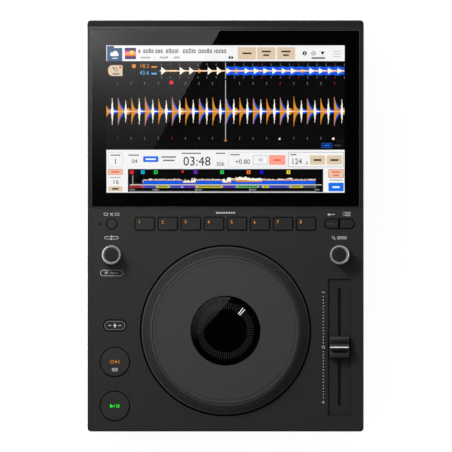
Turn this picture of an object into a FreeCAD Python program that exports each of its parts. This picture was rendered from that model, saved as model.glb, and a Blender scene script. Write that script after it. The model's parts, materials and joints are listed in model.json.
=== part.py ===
"""Tabletop media player with a jog wheel, a tilted touch screen, eight cue pads and a pitch fader.

The frame: +X to the player's right, +Y to its back, +Z up. The origin is on the table, under the middle of
the case. All lengths are in millimetres and all angles in degrees. Every piece is a closed solid of its own,
written to parts/NODE.step.
"""
import FreeCAD
import Part
import math
import os

Vector = FreeCAD.Vector

# Case
BODY_WIDTH = 252.0
BODY_DEPTH = 375.0
FOOT_HEIGHT = 5.0
LOWER_CASE_HEIGHT = 31.0
UPPER_CASE_HEIGHT = 28.0
CASE_WALL = 2.5
CORNER_RADIUS = 3.2
PARTING_CHAMFER = 0.6
EDGE_ROUND = 0.9
SEAT_GAP = 0.3
OVER = 1.0

# Deck panel, the flat plate that carries the controls
DECK_DEPTH = 203.9
DECK_THICKNESS = 2.5
DECK_BORDER = 1.4
DECK_GAP = 0.15
DECK_RIB_DEPTH = 2.5
DECK_RIB_HEIGHT = 9.0

# Screen and the frame round it
SCREEN_TILT = 8.7
FRAME_SIDE = 3.1
FRAME_PROUD = 0.4
REAR_BAND = 2.7
REAR_LEDGE = 5.9
REAR_LEDGE_FALL = 0.5
CHEEK_ROUND = 1.6
GLASS_GAP = 0.5
GLASS_THICKNESS = 1.8
GLASS_LIP = 4.0
LIP_THICKNESS = 2.0
LCD_SIDE_MARGIN = 7.4
LCD_END_MARGIN = 7.2
LCD_THICKNESS = 4.5
BRACKET_THICKNESS = 1.2
BRACKET_EAR = 6.0
BRACKET_EAR_LENGTH = 24.6
BRACKET_EAR_FROM_END = 41.1

# Bay in the back wall that holds the sockets
BAY_SIDE_MARGIN = 19.0
BAY_FLOOR = 7.0
BAY_HEIGHT = 41.0
BAY_DEPTH = 13.0
BAY_SHEET = 1.2
BAY_GAP = 0.25
BAY_POST_INSET_X = 12.0
BAY_POST_INSET_Y = 7.0

# Jog wheel
JOG_FRONT_MARGIN = 13.9
PADS_FROM_JOG = 19.2
COLUMN_FROM_JOG = 25.6
JOG_RIM_GAP = 1.7
JOG_RISE = 9.0
JOG_BEVEL_WIDTH = 9.2
JOG_BEVEL_DROP = 7.7
JOG_RIM_WALL = 2.8
JOG_SHELF_RISE = 1.0
JOG_LIP_THICKNESS = 2.2
JOG_PLATE_GAP = 0.4
JOG_PLATE_THICKNESS = 3.4
JOG_PLATE_FLANGE = 1.1
JOG_PLATE_LIP = 1.7
JOG_PLATE_GROOVE_INSET = 3.0
JOG_GROOVE_WIDTH = 0.4
JOG_GROOVE_DEPTH = 0.3
JOG_TOUCH_TRAVEL = 0.4
JOG_WEB_THICKNESS = 2.5
JOG_WEB_DROP = 10.5
JOG_RIB_RADIUS = 42.0
JOG_RIB_WIDTH = 3.0
JOG_WINDOW_RADIUS = 31.5
JOG_WINDOW_THICKNESS = 1.4
JOG_DISPLAY_THICKNESS = 5.6
JOG_DISPLAY_INSET = 0.6
JOG_POST_RADIUS = 13.0
JOG_POST_BORE = 9.0
JOG_SHOULDER = 1.6
JOG_BEARING_WALL = 3.0
JOG_BEARING_HEIGHT = 7.0
JOG_BEARING_FLANGE = 3.5
JOG_BEARING_FLANGE_THICKNESS = 1.2
JOG_RUNNING_GAP = 0.05
JOG_BOND_GAP = 0.1
SEAT_FIT = 0.02
JOG_SLEEVE_WALL = 4.0
JOG_BASE_DEPTH = 20.0
JOG_BASE_WALL = 2.2
JOG_BASE_FLANGE = 5.0
JOG_BASE_EARS = 4
JOG_BASE_EAR_RADIUS = 5.2
JOG_BASE_EAR_REACH = 5.0
JOG_SLIT_INSET = 16.5
JOG_SLIT_THICKNESS = 0.8
JOG_SLIT_HEIGHT = 9.0
JOG_SLITS = 60
SENSOR_LEG = 2.6
SENSOR_SLOT = 2.4
SENSOR_LENGTH = 12.0

# Pads and buttons
PAD_COUNT = 8
PAD_SPACING = 4.1
PADS_FROM_COLUMN = 19.8
PAD_DEPTH = 10.9
PAD_CORNER = 1.3
PAD_ROW_FROM_SCREEN = 14.4
BUTTON_GAP = 0.65
BUTTON_PROUD = 0.9
BUTTON_TOP_ROUND = 0.35
BUTTON_FLANGE = 0.8
BUTTON_FLANGE_THICKNESS = 1.4
BUTTON_BOSS_RADIUS = 1.6
PAD_TRAVEL = 0.9
KEY_TRAVEL = 0.8
TRANSPORT_TRAVEL = 1.0
TRAVEL_REST = 0.1
COLUMN_INSET = 22.2
TRANSPORT_INSET = 25.1
DELETE_RADIUS = 4.3
PAIR_WIDTH = 26.4
PAIR_DEPTH = 7.9
PAIR_RIB = 0.6
SHIFT_WIDTH = 19.8
SHIFT_DEPTH = 9.0
TRANSPORT_RADIUS = 12.9
SHIFT_FROM_FRONT = 96.8
CUE_FROM_FRONT = 63.5
PLAY_FROM_FRONT = 23.3
LED_RADIUS = 0.9
LED_GAP = 0.1
LED_FOOT_RADIUS = 1.62
LED_FROM_DELETE = 11.1

# Rotary encoders
KNOB_RADIUS = 8.9
KNOB_HEIGHT = 13.0
KNOB_LIFT = 1.3
KNOB_SHOULDER = 2.3
KNOB_DISH = 0.5
KNOB_DISH_SLOPE = 0.3
KNOB_WALL = 1.7
KNOB_HUB_RADIUS = 4.6
KNOB_FROM_PADS = 28.3
ENCODER_BODY = 12.4
ENCODER_HEIGHT = 7.0
ENCODER_WALL = 1.4
BUSH_RADIUS = 3.5
BUSH_RISE = 3.0
SHAFT_RADIUS = 3.0
SHAFT_BITE = 8.0
SHAFT_COLLAR = 1.2
PLUNGER_THICKNESS = 1.6
PLUNGER_GAP = 0.3
PUSH_TRAVEL = 0.6
NUT_RADIUS = 5.2
NUT_THICKNESS = 1.8
BUSH_HOLE_GAP = 0.4
SHAFT_RUNNING_GAP = 0.06

# Pitch fader
TRAY_WIDTH = 21.0
TRAY_FRONT_MARGIN = 14.55
KNOB_FROM_TRAY = 21.75
TRAY_RECESS = 1.6
TRAY_FLANGE = 2.5
TRAY_FLANGE_THICKNESS = 1.2
TRAY_END_FLANGE = 8.5
TRAY_TAB_WIDTH = 14.0
TRAY_GAP = 0.15
FADER_END_MARGIN = 12.45
FADER_SLOT_WIDTH = 2.75
FADER_SLOT_END = 1.6
LEVER_THICKNESS = 1.2
LEVER_WIDTH = 4.0
LEVER_BITE = 5.5
CARRIAGE_WIDTH = 8.0
CARRIAGE_LENGTH = 12.0
CARRIAGE_HEIGHT = 5.0
FADER_BODY_WALL = 1.2
FADER_BODY_HEIGHT = 12.5
FADER_EAR_LENGTH = 6.5
FADER_EAR_THICKNESS = 1.5
CAP_WIDTH = 17.4
CAP_LENGTH = 20.0
CAP_HEIGHT = 10.5
CAP_LIFT = 0.8
CAP_RIDGE = 3.6
CAP_SCOOP = 2.6
CAP_END_SLOPE = 1.6
CAP_RIDGE_PROUD = 0.5

# Boards and what stands on them
BOARD_THICKNESS = 1.6
KEY_BOARD_DROP = 9.5
KEY_BOARD_WIDTH = 33.0
KEY_BOARD_SIDE_GAP = 4.0
KEY_BOARD_MARGIN = 12.0
PAD_BOARD_MARGIN = 7.0
PAD_BOARD_FRONT = 15.0
BOARD_BEHIND_PADS = 7.5
KEY_POST_FROM_KNOB = 28.0
SWITCH_SIDE = 6.0
SWITCH_BODY_HEIGHT = 3.6
SWITCH_PLUNGER_HEIGHT = 1.2
SWITCH_PLUNGER_RADIUS = 1.5
BOARD_TO_BOARD = 5.4
MAIN_BOARD_DEPTH = 150.0
POWER_BOARD_WIDTH = 76.0
POWER_BOARD_DEPTH = 100.0
BOARD_STANDOFF = 6.5
STANDOFF_RADIUS = 3.4
BOARD_SIDE_GAP = 1.0
POWER_BOARD_REAR_GAP = 6.0
BOARD_REAR_GAP = 1.0
BOARD_HOLE_INSET = 5.0
TRANSFORMER_SIDE = 30.0
TRANSFORMER_HEIGHT = 24.0
TRANSFORMER_COIL_OVERHANG = 4.0
CAPACITOR_RADIUS = 8.0
CAPACITOR_HEIGHT = 24.0
HEAT_SINK_SIDE = 44.0
HEAT_SINK_HEIGHT = 14.0
HEAT_SINK_FINS = 9
FIN_THICKNESS = 1.5
CHIP_SIDE = 26.0
CHIP_HEIGHT = 2.0
CHIP_CORNER = 0.5

# Screws and feet
SCREW_RADIUS = 1.5
SCREW_HEAD_RADIUS = 2.8
SCREW_HEAD_HEIGHT = 1.8
SCREW_HOLE_GAP = 0.05
SCREW_BITE = 6.0
SCREW_TIP_GAP = 1.0
SMALL_SCREW_RADIUS = 1.0
SMALL_HEAD_RADIUS = 1.9
SMALL_HEAD_HEIGHT = 1.2
BLIND_FLOOR = 0.5
POST_RADIUS = 4.2
POST_OVERLAP = 0.6
MIDDLE_POST_FROM_SCREEN = 16.0
REAR_POST_INSET = 24.0
COUNTERBORE_DEPTH = 6.0
HOOD_POST_RADIUS = 3.0
HOOD_POST_FROM_SCREEN = 30.0
HOOD_POST_FROM_BACK = 38.0
HOOD_SHELF_WIDTH = 8.0
HOOD_SHELF_THICKNESS = 2.5
FOOT_RADIUS = 13.0
FOOT_TAPER = 1.2
FOOT_INSET_X = 30.0
FOOT_INSET_Y = 34.0
FOOT_RECESS_RADIUS = 4.5
FOOT_RECESS_DEPTH = 2.6
FOOT_BOSS_HEIGHT = 6.0

# Vent slots in the floor and in the side walls
VENT_WIDTH = 2.4
VENT_LENGTH = 34.0
VENT_PITCH = 7.0
VENT_COUNT = 9
SIDE_VENT_HEIGHT = 14.0
SIDE_VENT_PITCH = 6.0
SIDE_VENT_COUNT = 10
SIDE_VENT_FROM_BACK = 32.0

# Sockets
INLET_FROM_BAY_END = 23.0
INLET_WIDTH = 27.0
INLET_HEIGHT = 20.0
INLET_DEPTH = 21.0
INLET_CAVITY_WIDTH = 24.0
INLET_CAVITY_HEIGHT = 16.0
INLET_CAVITY_DEPTH = 16.5
INLET_CORNER = 5.0
INLET_FLANGE = 2.0
INLET_FLANGE_THICKNESS = 1.5
INLET_PIN_WIDTH = 2.0
INLET_PIN_HEIGHT = 4.0
INLET_PIN_SPREAD = 7.0
INLET_PIN_RISE = 2.0
INLET_PIN_SETBACK = 1.0
POWER_BUTTON_FROM_INLET = 28.0
POWER_BUTTON_RADIUS = 5.0
POWER_BUTTON_PROUD = 2.6
POWER_BUTTON_TRAVEL = 1.6
POWER_BUTTON_FLANGE = 1.2
POWER_BUTTON_STEM = 3.0
POWER_BUTTON_RIM = 1.5
POWER_SWITCH_NOSE = 2.0
POWER_SWITCH_NOSE_RADIUS = 3.0
JACK_RADIUS = 4.15
JACK_LENGTH = 9.0
JACK_BORE_RADIUS = 1.65
JACK_BORE_DEPTH = 8.0
JACK_FLANGE_RADIUS = 5.6
JACK_FLANGE_THICKNESS = 0.8
JACK_BLOCK_WIDTH = 11.0
JACK_BLOCK_DEPTH = 12.0
JACK_FROM_BOARD_END = 15.3
JACK_PITCH = 15.0
JACK_COUNT = 3
SOCKET_GAP = 0.2
LAN_SHIFT = 2.0
LAN_WIDTH = 16.0
LAN_HEIGHT = 13.4
LAN_DEPTH = 21.0
LAN_CAVITY_WIDTH = 11.8
LAN_CAVITY_HEIGHT = 8.2
LAN_CAVITY_DEPTH = 14.0
LAN_TAB_WIDTH = 4.2
LAN_TAB_HEIGHT = 1.8
LINK_FROM_BAY_END = 23.0
LINK_WIDTH = 12.0
LINK_HEIGHT = 11.0
LINK_DEPTH = 16.0
LINK_CAVITY_WIDTH = 8.6
LINK_CAVITY_HEIGHT = 7.8
LINK_CAVITY_DEPTH = 11.0
LINK_TONGUE_WIDTH = 5.6
LINK_TONGUE_HEIGHT = 3.2
LINK_TONGUE_SETBACK = 1.0
MEDIA_INSET = 30.0
MEDIA_WIDTH = 14.6
MEDIA_HEIGHT = 7.0
MEDIA_DEPTH = 17.0
MEDIA_CAVITY_WIDTH = 12.5
MEDIA_CAVITY_HEIGHT = 5.1
MEDIA_CAVITY_DEPTH = 12.0
MEDIA_TONGUE_HEIGHT = 1.9
MEDIA_TONGUE_INSET = 0.6
MEDIA_TONGUE_SETBACK = 1.0

# Places that follow from the sizes
SIDE_X = BODY_WIDTH / 2
FRONT_Y = -BODY_DEPTH / 2
REAR_Y = BODY_DEPTH / 2
INNER_X = SIDE_X - CASE_WALL
INNER_FRONT_Y = FRONT_Y + CASE_WALL
INNER_REAR_Y = REAR_Y - CASE_WALL
FLOOR_Z = FOOT_HEIGHT
FLOOR_TOP_Z = FLOOR_Z + CASE_WALL
PARTING_Z = FLOOR_Z + LOWER_CASE_HEIGHT
DECK_Z = PARTING_Z + UPPER_CASE_HEIGHT
DECK_UNDER_Z = DECK_Z - DECK_THICKNESS
KEY_BOARD_Z = DECK_UNDER_Z - KEY_BOARD_DROP
SCREEN_Y = FRONT_Y + DECK_DEPTH
COLUMN_X = SIDE_X - COLUMN_INSET
TRANSPORT_X = -SIDE_X + TRANSPORT_INSET
PAD_ROW_Y = SCREEN_Y - PAD_ROW_FROM_SCREEN
PAD_PITCH = 2 * (COLUMN_X - PADS_FROM_COLUMN) / PAD_COUNT
PAD_WIDTH = PAD_PITCH - PAD_SPACING
KNOB_Y = PAD_ROW_Y - KNOB_FROM_PADS
JOG_LOW_Y = FRONT_Y + JOG_FRONT_MARGIN
JOG_HIGH_Y = PAD_ROW_Y - PADS_FROM_JOG
JOG_Y = (JOG_LOW_Y + JOG_HIGH_Y) / 2
JOG_OPENING_RADIUS = min((JOG_HIGH_Y - JOG_LOW_Y) / 2, COLUMN_X - COLUMN_FROM_JOG)
JOG_SLIT_RADIUS = JOG_OPENING_RADIUS - JOG_RIM_GAP - JOG_SLIT_INSET
TRAY_LOW_Y = FRONT_Y + TRAY_FRONT_MARGIN
TRAY_LENGTH = KNOB_Y - KNOB_FROM_TRAY - TRAY_LOW_Y
TRAY_Y = TRAY_LOW_Y + TRAY_LENGTH / 2
FADER_TRAVEL = TRAY_LENGTH - 2 * FADER_END_MARGIN
BOARD_Z = FLOOR_TOP_Z + BOARD_STANDOFF + BOARD_THICKNESS
BAY_Y = REAR_Y - BAY_DEPTH
BAY_LOW_Z = FLOOR_Z + BAY_FLOOR
BAY_WIDTH = BODY_WIDTH - 2 * BAY_SIDE_MARGIN
INLET_X = BAY_WIDTH / 2 - INLET_FROM_BAY_END
POWER_BUTTON_X = INLET_X - POWER_BUTTON_FROM_INLET
LINK_X = -BAY_WIDTH / 2 + LINK_FROM_BAY_END
MEDIA_X = -SIDE_X + MEDIA_INSET
BAY_HIGH_Z = BAY_LOW_Z + BAY_HEIGHT

TILT = math.radians(SCREEN_TILT)
POCKET_END_Y = REAR_Y - REAR_LEDGE - REAR_BAND
POCKET_LENGTH = (POCKET_END_Y - SCREEN_Y) / math.cos(TILT)
POCKET_WIDTH = BODY_WIDTH - 2 * FRAME_SIDE
GLASS_WIDTH = POCKET_WIDTH - 2 * GLASS_GAP
GLASS_LENGTH = POCKET_LENGTH - 2 * GLASS_GAP


def box(low_x, low_y, low_z, high_x, high_y, high_z):
    """A block between two corners."""
    corner = Vector(low_x, low_y, low_z)
    return Part.makeBox(high_x - low_x, high_y - low_y, high_z - low_z, corner)


def disc(radius, low_z, high_z, x=0.0, y=0.0):
    """An upright cylinder."""
    return Part.makeCylinder(radius, high_z - low_z, Vector(x, y, low_z))


def ring(outer, inner, low_z, high_z, x=0.0, y=0.0):
    """An upright tube."""
    return disc(outer, low_z, high_z, x, y).cut(disc(inner, low_z - OVER, high_z + OVER, x, y))


def rod(radius, low_y, high_y, x, z):
    """A cylinder along Y."""
    return Part.makeCylinder(radius, high_y - low_y, Vector(x, low_y, z), Vector(0, 1, 0))


def plate(width, depth, corner, low_z, high_z, x=0.0, y=0.0):
    """A block with its four upright edges rounded."""
    block = box(x - width / 2, y - depth / 2, low_z, x + width / 2, y + depth / 2, high_z)
    upright = [e for e in block.Edges if abs(e.tangentAt(e.FirstParameter).z) > 0.99]
    return block.makeFillet(corner, upright)


def capsule(width, depth, low_z, high_z, x=0.0, y=0.0):
    """A plate whose ends are half circles; width is along X."""
    reach = (width - depth) / 2
    middle = box(x - reach, y - depth / 2, low_z, x + reach, y + depth / 2, high_z)
    ends = [disc(depth / 2, low_z, high_z, x + side * reach, y) for side in (-1, 1)]
    return middle.fuse(ends).removeSplitter()


def turned(profile, x=0.0, y=0.0):
    """A solid turned about an upright axis from (radius, z) points."""
    points = [Vector(radius, 0, z) for radius, z in profile]
    face = Part.Face(Part.makePolygon(points + points[:1]))
    solid = face.revolve(Vector(0, 0, 0), Vector(0, 0, 1), 360)
    solid.translate(Vector(x, y, 0))
    return solid


def side_profile(points, low_x, high_x):
    """A solid whose section across X is the outline of (y, z) points."""
    outline = [Vector(low_x, y, z) for y, z in points]
    face = Part.Face(Part.makePolygon(outline + outline[:1]))
    return face.extrude(Vector(high_x - low_x, 0, 0))


def tilted(solid):
    """Takes a solid from the screen's own axes to the player's. The pivot is the front of the frame plane."""
    pivot = Vector(0, SCREEN_Y, DECK_Z + FRAME_PROUD)
    turn = FreeCAD.Rotation(Vector(1, 0, 0), SCREEN_TILT)
    solid.Placement = FreeCAD.Placement(pivot, turn).multiply(solid.Placement)
    return solid


def on_screen(width, start, end, depth_from, depth_to):
    """A block in the screen's plane: start and end run up the slope, depths go down from the plane."""
    return tilted(box(-width / 2, start, -depth_to, width / 2, end, -depth_from))


def round_edges(solid, radius, wanted):
    """Rounds the edges for which wanted(edge) is true."""
    return solid.makeFillet(radius, [e for e in solid.Edges if wanted(e)])


def edges_at(z, tolerance=1e-4):
    """A test for edges that lie wholly at one height."""
    return lambda edge: abs(edge.BoundBox.ZMin - z) < tolerance and abs(edge.BoundBox.ZMax - z) < tolerance


def joined(solids):
    """One solid from several that meet or overlap."""
    return solids[0].fuse(solids[1:]).removeSplitter()


def group(solids):
    """Separate solids kept in one node."""
    return Part.makeCompound(solids)


def screw(x, y, seat_z, length, rising=True):
    """A pan head screw whose head bears on seat_z; rising says that the shank points up."""
    axis = Vector(0, 0, 1 if rising else -1)
    start = Vector(x, y, seat_z)
    shank = Part.makeCylinder(SCREW_RADIUS, length, start, axis)
    head = Part.makeCylinder(SCREW_HEAD_RADIUS, SCREW_HEAD_HEIGHT, start, axis * -1)
    return joined([shank, head])


def small_screw(x, y, seat_z, length):
    """A short screw from below for thin sheets."""
    shank = disc(SMALL_SCREW_RADIUS, seat_z, seat_z + length, x, y)
    return joined([shank, disc(SMALL_HEAD_RADIUS, seat_z - SMALL_HEAD_HEIGHT, seat_z, x, y)])


def screw_hole(x, y, low_z, high_z):
    return disc(SCREW_RADIUS + SCREW_HOLE_GAP, low_z, high_z, x, y)


def small_hole(x, y, low_z, high_z):
    return disc(SMALL_SCREW_RADIUS + SCREW_HOLE_GAP, low_z, high_z, x, y)


def post_inset():
    """From a wall's outside to the middle of a post that grows out of its inside."""
    return CASE_WALL + POST_RADIUS - POST_OVERLAP


def post_places():
    """Where the case screws join the two halves."""
    x = SIDE_X - post_inset()
    ys = (FRONT_Y + post_inset(), SCREEN_Y + MIDDLE_POST_FROM_SCREEN, REAR_Y - REAR_POST_INSET)
    return [(side * x, y) for y in ys for side in (-1, 1)]


def hood_post_places():
    """Where the hood's own posts come down to shelves on the upper case."""
    x = INNER_X - SEAT_GAP - HOOD_POST_RADIUS
    ys = (SCREEN_Y + HOOD_POST_FROM_SCREEN, REAR_Y - HOOD_POST_FROM_BACK)
    return [(side * x, y) for y in ys for side in (-1, 1)]


def hood_post_low_z():
    return DECK_UNDER_Z - DECK_RIB_HEIGHT


def bay_post_places():
    """Posts on the case floor that carry the socket bay's tray."""
    x = BAY_WIDTH / 2 - BAY_POST_INSET_X
    return [(side * x, REAR_Y - BAY_POST_INSET_Y) for side in (-1, 1)]


def tray_screw_places():
    """Screws through the ends of the fader tray's flange into the deck."""
    reach = TRAY_LENGTH / 2 + (TRAY_END_FLANGE + TRAY_GAP) / 2
    return [(COLUMN_X, TRAY_Y + end * reach) for end in (-1, 1)]


def fader_screw_places():
    """Screws through the fader body's ears into the tray."""
    half_length = (FADER_TRAVEL + CARRIAGE_LENGTH) / 2 + SEAT_GAP + FADER_BODY_WALL
    return [(COLUMN_X, TRAY_Y + end * (half_length + FADER_EAR_LENGTH / 2)) for end in (-1, 1)]


def foot_places():
    x = SIDE_X - FOOT_INSET_X
    y = BODY_DEPTH / 2 - FOOT_INSET_Y
    return [(sx * x, sy * y) for sx in (-1, 1) for sy in (-1, 1)]


def board_limit_x():
    """How far out a big board may reach, beside the case posts."""
    return SIDE_X - post_inset() - POST_RADIUS - BOARD_SIDE_GAP


def main_board_box():
    """Low x, low y, high x, high y of the main board, which fills the width beside the power board."""
    high_y = BAY_Y - BAY_SHEET - BOARD_REAR_GAP
    return -board_limit_x(), high_y - MAIN_BOARD_DEPTH, power_board_box()[0] - BOARD_TO_BOARD, high_y


def power_board_box():
    high_x = board_limit_x()
    high_y = BAY_Y - INLET_DEPTH - POWER_BOARD_REAR_GAP
    return high_x - POWER_BOARD_WIDTH, high_y - POWER_BOARD_DEPTH, high_x, high_y


def jack_xs():
    """The phono jacks stand in a row from the main board's end beside the power board."""
    first = main_board_box()[2] - JACK_FROM_BOARD_END
    return [first - JACK_PITCH * k for k in range(JACK_COUNT)]


def lan_x():
    """The network socket stands between the computer port and the phono jacks."""
    return (LINK_X + jack_xs()[-1]) / 2 + LAN_SHIFT


def board_holes(low_x, low_y, high_x, high_y):
    """The four screw holes of a board."""
    xs = (low_x + BOARD_HOLE_INSET, high_x - BOARD_HOLE_INSET)
    ys = (low_y + BOARD_HOLE_INSET, high_y - BOARD_HOLE_INSET)
    return [(x, y) for x in xs for y in ys]


def base_board_holes():
    return board_holes(*main_board_box()) + board_holes(*power_board_box())


def key_board_box(side):
    """The board under one column of controls; side is -1 on the left and 1 on the right."""
    outer = INNER_X - KEY_BOARD_SIDE_GAP
    inner = outer - KEY_BOARD_WIDTH
    high_y = PAD_ROW_Y + BOARD_BEHIND_PADS
    low_y = FRONT_Y + KEY_BOARD_MARGIN
    if side > 0:
        low_y = KNOB_Y - ENCODER_BODY
        inner = outer - KEY_BOARD_WIDTH + PAD_BOARD_MARGIN
    return min(side * inner, side * outer), low_y, max(side * inner, side * outer), high_y


def pad_board_box():
    reach = PAD_PITCH * (PAD_COUNT - 1) / 2 + PAD_BOARD_MARGIN
    return -reach, PAD_ROW_Y - PAD_BOARD_FRONT, reach, PAD_ROW_Y + BOARD_BEHIND_PADS


def deck_post_places():
    """Posts that hang from the deck and carry the key boards and the pad board, clear of every button."""
    inset = STANDOFF_RADIUS
    left, right, pads = key_board_box(-1), key_board_box(1), pad_board_box()
    between_transport = FRONT_Y + (CUE_FROM_FRONT + PLAY_FROM_FRONT) / 2
    before_knob = KNOB_Y - KEY_POST_FROM_KNOB
    places = [(x, y) for x in (left[0] + inset, left[2] - inset) for y in (between_transport, before_knob)]
    behind_knob = (KNOB_Y + PAD_ROW_Y) / 2
    places += [(right[0] + inset, behind_knob), (right[2] - inset, behind_knob)]
    places.append((right[2] - inset, right[1] + inset))
    last = PAD_PITCH * (PAD_COUNT - 1) / 2
    inner = PAD_PITCH * (PAD_COUNT / 4)
    places += [(x, pads[1] + inset) for x in (-last, -inner, inner, last)]
    return places


def jog_base_screw_places():
    """The ears of the jog wheel's dish lie on the diagonals, clear of the columns of controls."""
    radius = JOG_OPENING_RADIUS + JOG_BASE_WALL + JOG_BASE_EAR_REACH
    turns = [2 * math.pi * (k + 0.5) / JOG_BASE_EARS for k in range(JOG_BASE_EARS)]
    return [(radius * math.cos(a), JOG_Y + radius * math.sin(a)) for a in turns]


def bay_cutter(gap):
    """The opening in the back walls for the socket bay."""
    reach = BAY_WIDTH / 2 + gap
    return box(-reach, BAY_Y - OVER, BAY_LOW_Z - gap, reach, REAR_Y + OVER, BAY_HIGH_Z + gap)


def socket_cutter(x, width, height):
    """The hole in the bay's back sheet for a socket that stands on the main board."""
    half = width / 2 + SOCKET_GAP
    low = BOARD_Z - SOCKET_GAP
    return box(x - half, BAY_Y - BAY_SHEET - OVER, low, x + half, BAY_Y + OVER, BOARD_Z + height + SOCKET_GAP)


def media_port_floor_z():
    return FLOOR_Z + LOWER_CASE_HEIGHT / 2


def make_lower_case():
    """The bottom half of the case: floor, walls, screw posts, standoffs and vents."""
    shell = plate(BODY_WIDTH, BODY_DEPTH, CORNER_RADIUS, FLOOR_Z, PARTING_Z)
    shell = shell.makeChamfer(PARTING_CHAMFER, [e for e in shell.Edges if edges_at(PARTING_Z)(e)])
    shell = round_edges(shell, EDGE_ROUND, edges_at(FLOOR_Z))
    inside = box(-INNER_X, INNER_FRONT_Y, FLOOR_TOP_Z, INNER_X, INNER_REAR_Y, PARTING_Z + OVER)
    shell = shell.cut([inside, bay_cutter(BAY_GAP)])
    added = []
    for x, y in post_places():
        added.append(disc(POST_RADIUS, FLOOR_TOP_Z, PARTING_Z, x, y))
    for x, y in foot_places():
        added.append(disc(POST_RADIUS, FLOOR_TOP_Z, FLOOR_TOP_Z + FOOT_BOSS_HEIGHT, x, y))
    for x, y in base_board_holes():
        added.append(disc(STANDOFF_RADIUS, FLOOR_TOP_Z, BOARD_Z - BOARD_THICKNESS, x, y))
    for x, y in bay_post_places():
        added.append(disc(STANDOFF_RADIUS, FLOOR_TOP_Z, BAY_LOW_Z, x, y))
    shelf_z = media_port_floor_z()
    shelf_half = MEDIA_WIDTH / 2 + CASE_WALL
    added.append(box(MEDIA_X - shelf_half, INNER_FRONT_Y, FLOOR_TOP_Z, MEDIA_X + shelf_half,
                     FRONT_Y + MEDIA_DEPTH, shelf_z))
    shell = shell.fuse(added)
    removed = []
    for x, y in post_places():
        removed.append(screw_hole(x, y, FLOOR_Z - OVER, PARTING_Z + OVER))
        removed.append(disc(SCREW_HEAD_RADIUS + SEAT_GAP, FLOOR_Z - OVER, FLOOR_Z + COUNTERBORE_DEPTH, x, y))
    for x, y in foot_places():
        removed.append(screw_hole(x, y, FLOOR_Z - OVER, FLOOR_TOP_Z + FOOT_BOSS_HEIGHT))
    for x, y in base_board_holes():
        removed.append(screw_hole(x, y, FLOOR_TOP_Z, BOARD_Z))
    for x, y in bay_post_places():
        removed.append(screw_hole(x, y, FLOOR_TOP_Z, BAY_LOW_Z + OVER))
    removed += [floor_vent(side, k) for side in (-1, 1) for k in range(VENT_COUNT)]
    removed += [side_vent(side, k) for side in (-1, 1) for k in range(SIDE_VENT_COUNT)]
    half = MEDIA_WIDTH / 2 + SOCKET_GAP
    removed.append(box(MEDIA_X - half, FRONT_Y - OVER, shelf_z, MEDIA_X + half, INNER_FRONT_Y + OVER,
                       shelf_z + MEDIA_HEIGHT + SOCKET_GAP))
    return shell.cut(removed).removeSplitter()


def floor_vent(side, index):
    """One slot of the two rows in the floor, one under each big board."""
    row = main_board_box() if side < 0 else power_board_box()
    middle_x = (row[0] + row[2]) / 2
    y = (row[1] + row[3]) / 2 + VENT_PITCH * (index - (VENT_COUNT - 1) / 2)
    return capsule(VENT_LENGTH, VENT_WIDTH, FLOOR_Z - OVER, FLOOR_TOP_Z + OVER, middle_x, y)


def side_vent(side, index):
    """One upright slot of a row in a side wall, under the screen."""
    y = REAR_Y - SIDE_VENT_FROM_BACK - SIDE_VENT_PITCH * index
    middle_z = (FLOOR_Z + PARTING_Z) / 2
    low_x, high_x = sorted((side * (INNER_X - OVER), side * (SIDE_X + OVER)))
    return box(low_x, y - VENT_WIDTH / 2, middle_z - SIDE_VENT_HEIGHT / 2,
               high_x, y + VENT_WIDTH / 2, middle_z + SIDE_VENT_HEIGHT / 2)


def make_upper_case():
    """The top half's walls, with a rebate for the deck panel and a rib under the deck's back edge."""
    shell = plate(BODY_WIDTH, BODY_DEPTH, CORNER_RADIUS, PARTING_Z, DECK_Z)
    shell = shell.makeChamfer(PARTING_CHAMFER, [e for e in shell.Edges if edges_at(PARTING_Z)(e)])
    past = SIDE_X + OVER
    rim = box(-past, FRONT_Y - OVER, PARTING_Z - OVER, past, SCREEN_Y, DECK_Z + OVER)
    front = round_edges(shell.copy(), EDGE_ROUND, edges_at(DECK_Z)).common(rim)
    shell = shell.cut(rim).fuse(front)
    shell = shell.cut(box(-INNER_X, INNER_FRONT_Y, PARTING_Z - OVER, INNER_X, INNER_REAR_Y, DECK_Z + OVER))
    reach = INNER_X + POST_OVERLAP
    rib_low = DECK_UNDER_Z - DECK_RIB_HEIGHT
    added = [box(-reach, SCREEN_Y - DECK_RIB_DEPTH, rib_low, reach, SCREEN_Y, DECK_UNDER_Z)]
    for x, y in post_places():
        added.append(disc(POST_RADIUS, PARTING_Z, post_top_z(y), x, y))
    shelf_top = hood_post_low_z()
    for x, y in hood_post_places():
        side = 1 if x > 0 else -1
        ends = (side * (INNER_X + POST_OVERLAP), side * (INNER_X - HOOD_SHELF_WIDTH))
        added.append(box(min(ends), y - HOOD_SHELF_WIDTH / 2, shelf_top - HOOD_SHELF_THICKNESS,
                         max(ends), y + HOOD_SHELF_WIDTH / 2, shelf_top))
    shell = shell.fuse(added)
    removed = [bay_cutter(BAY_GAP), deck_outline(DECK_BORDER, DECK_UNDER_Z, DECK_Z + OVER)]
    removed += [screw_hole(x, y, PARTING_Z - OVER, PARTING_Z + SCREW_BITE + OVER) for x, y in post_places()]
    shelf_low = shelf_top - HOOD_SHELF_THICKNESS
    removed += [screw_hole(x, y, shelf_low - OVER, shelf_top + OVER) for x, y in hood_post_places()]
    return shell.cut(removed).removeSplitter()


def post_top_z(y):
    """The front posts reach the deck and the others stop short of the screen."""
    return DECK_UNDER_Z if y < SCREEN_Y else DECK_UNDER_Z - DECK_RIB_HEIGHT


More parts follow.
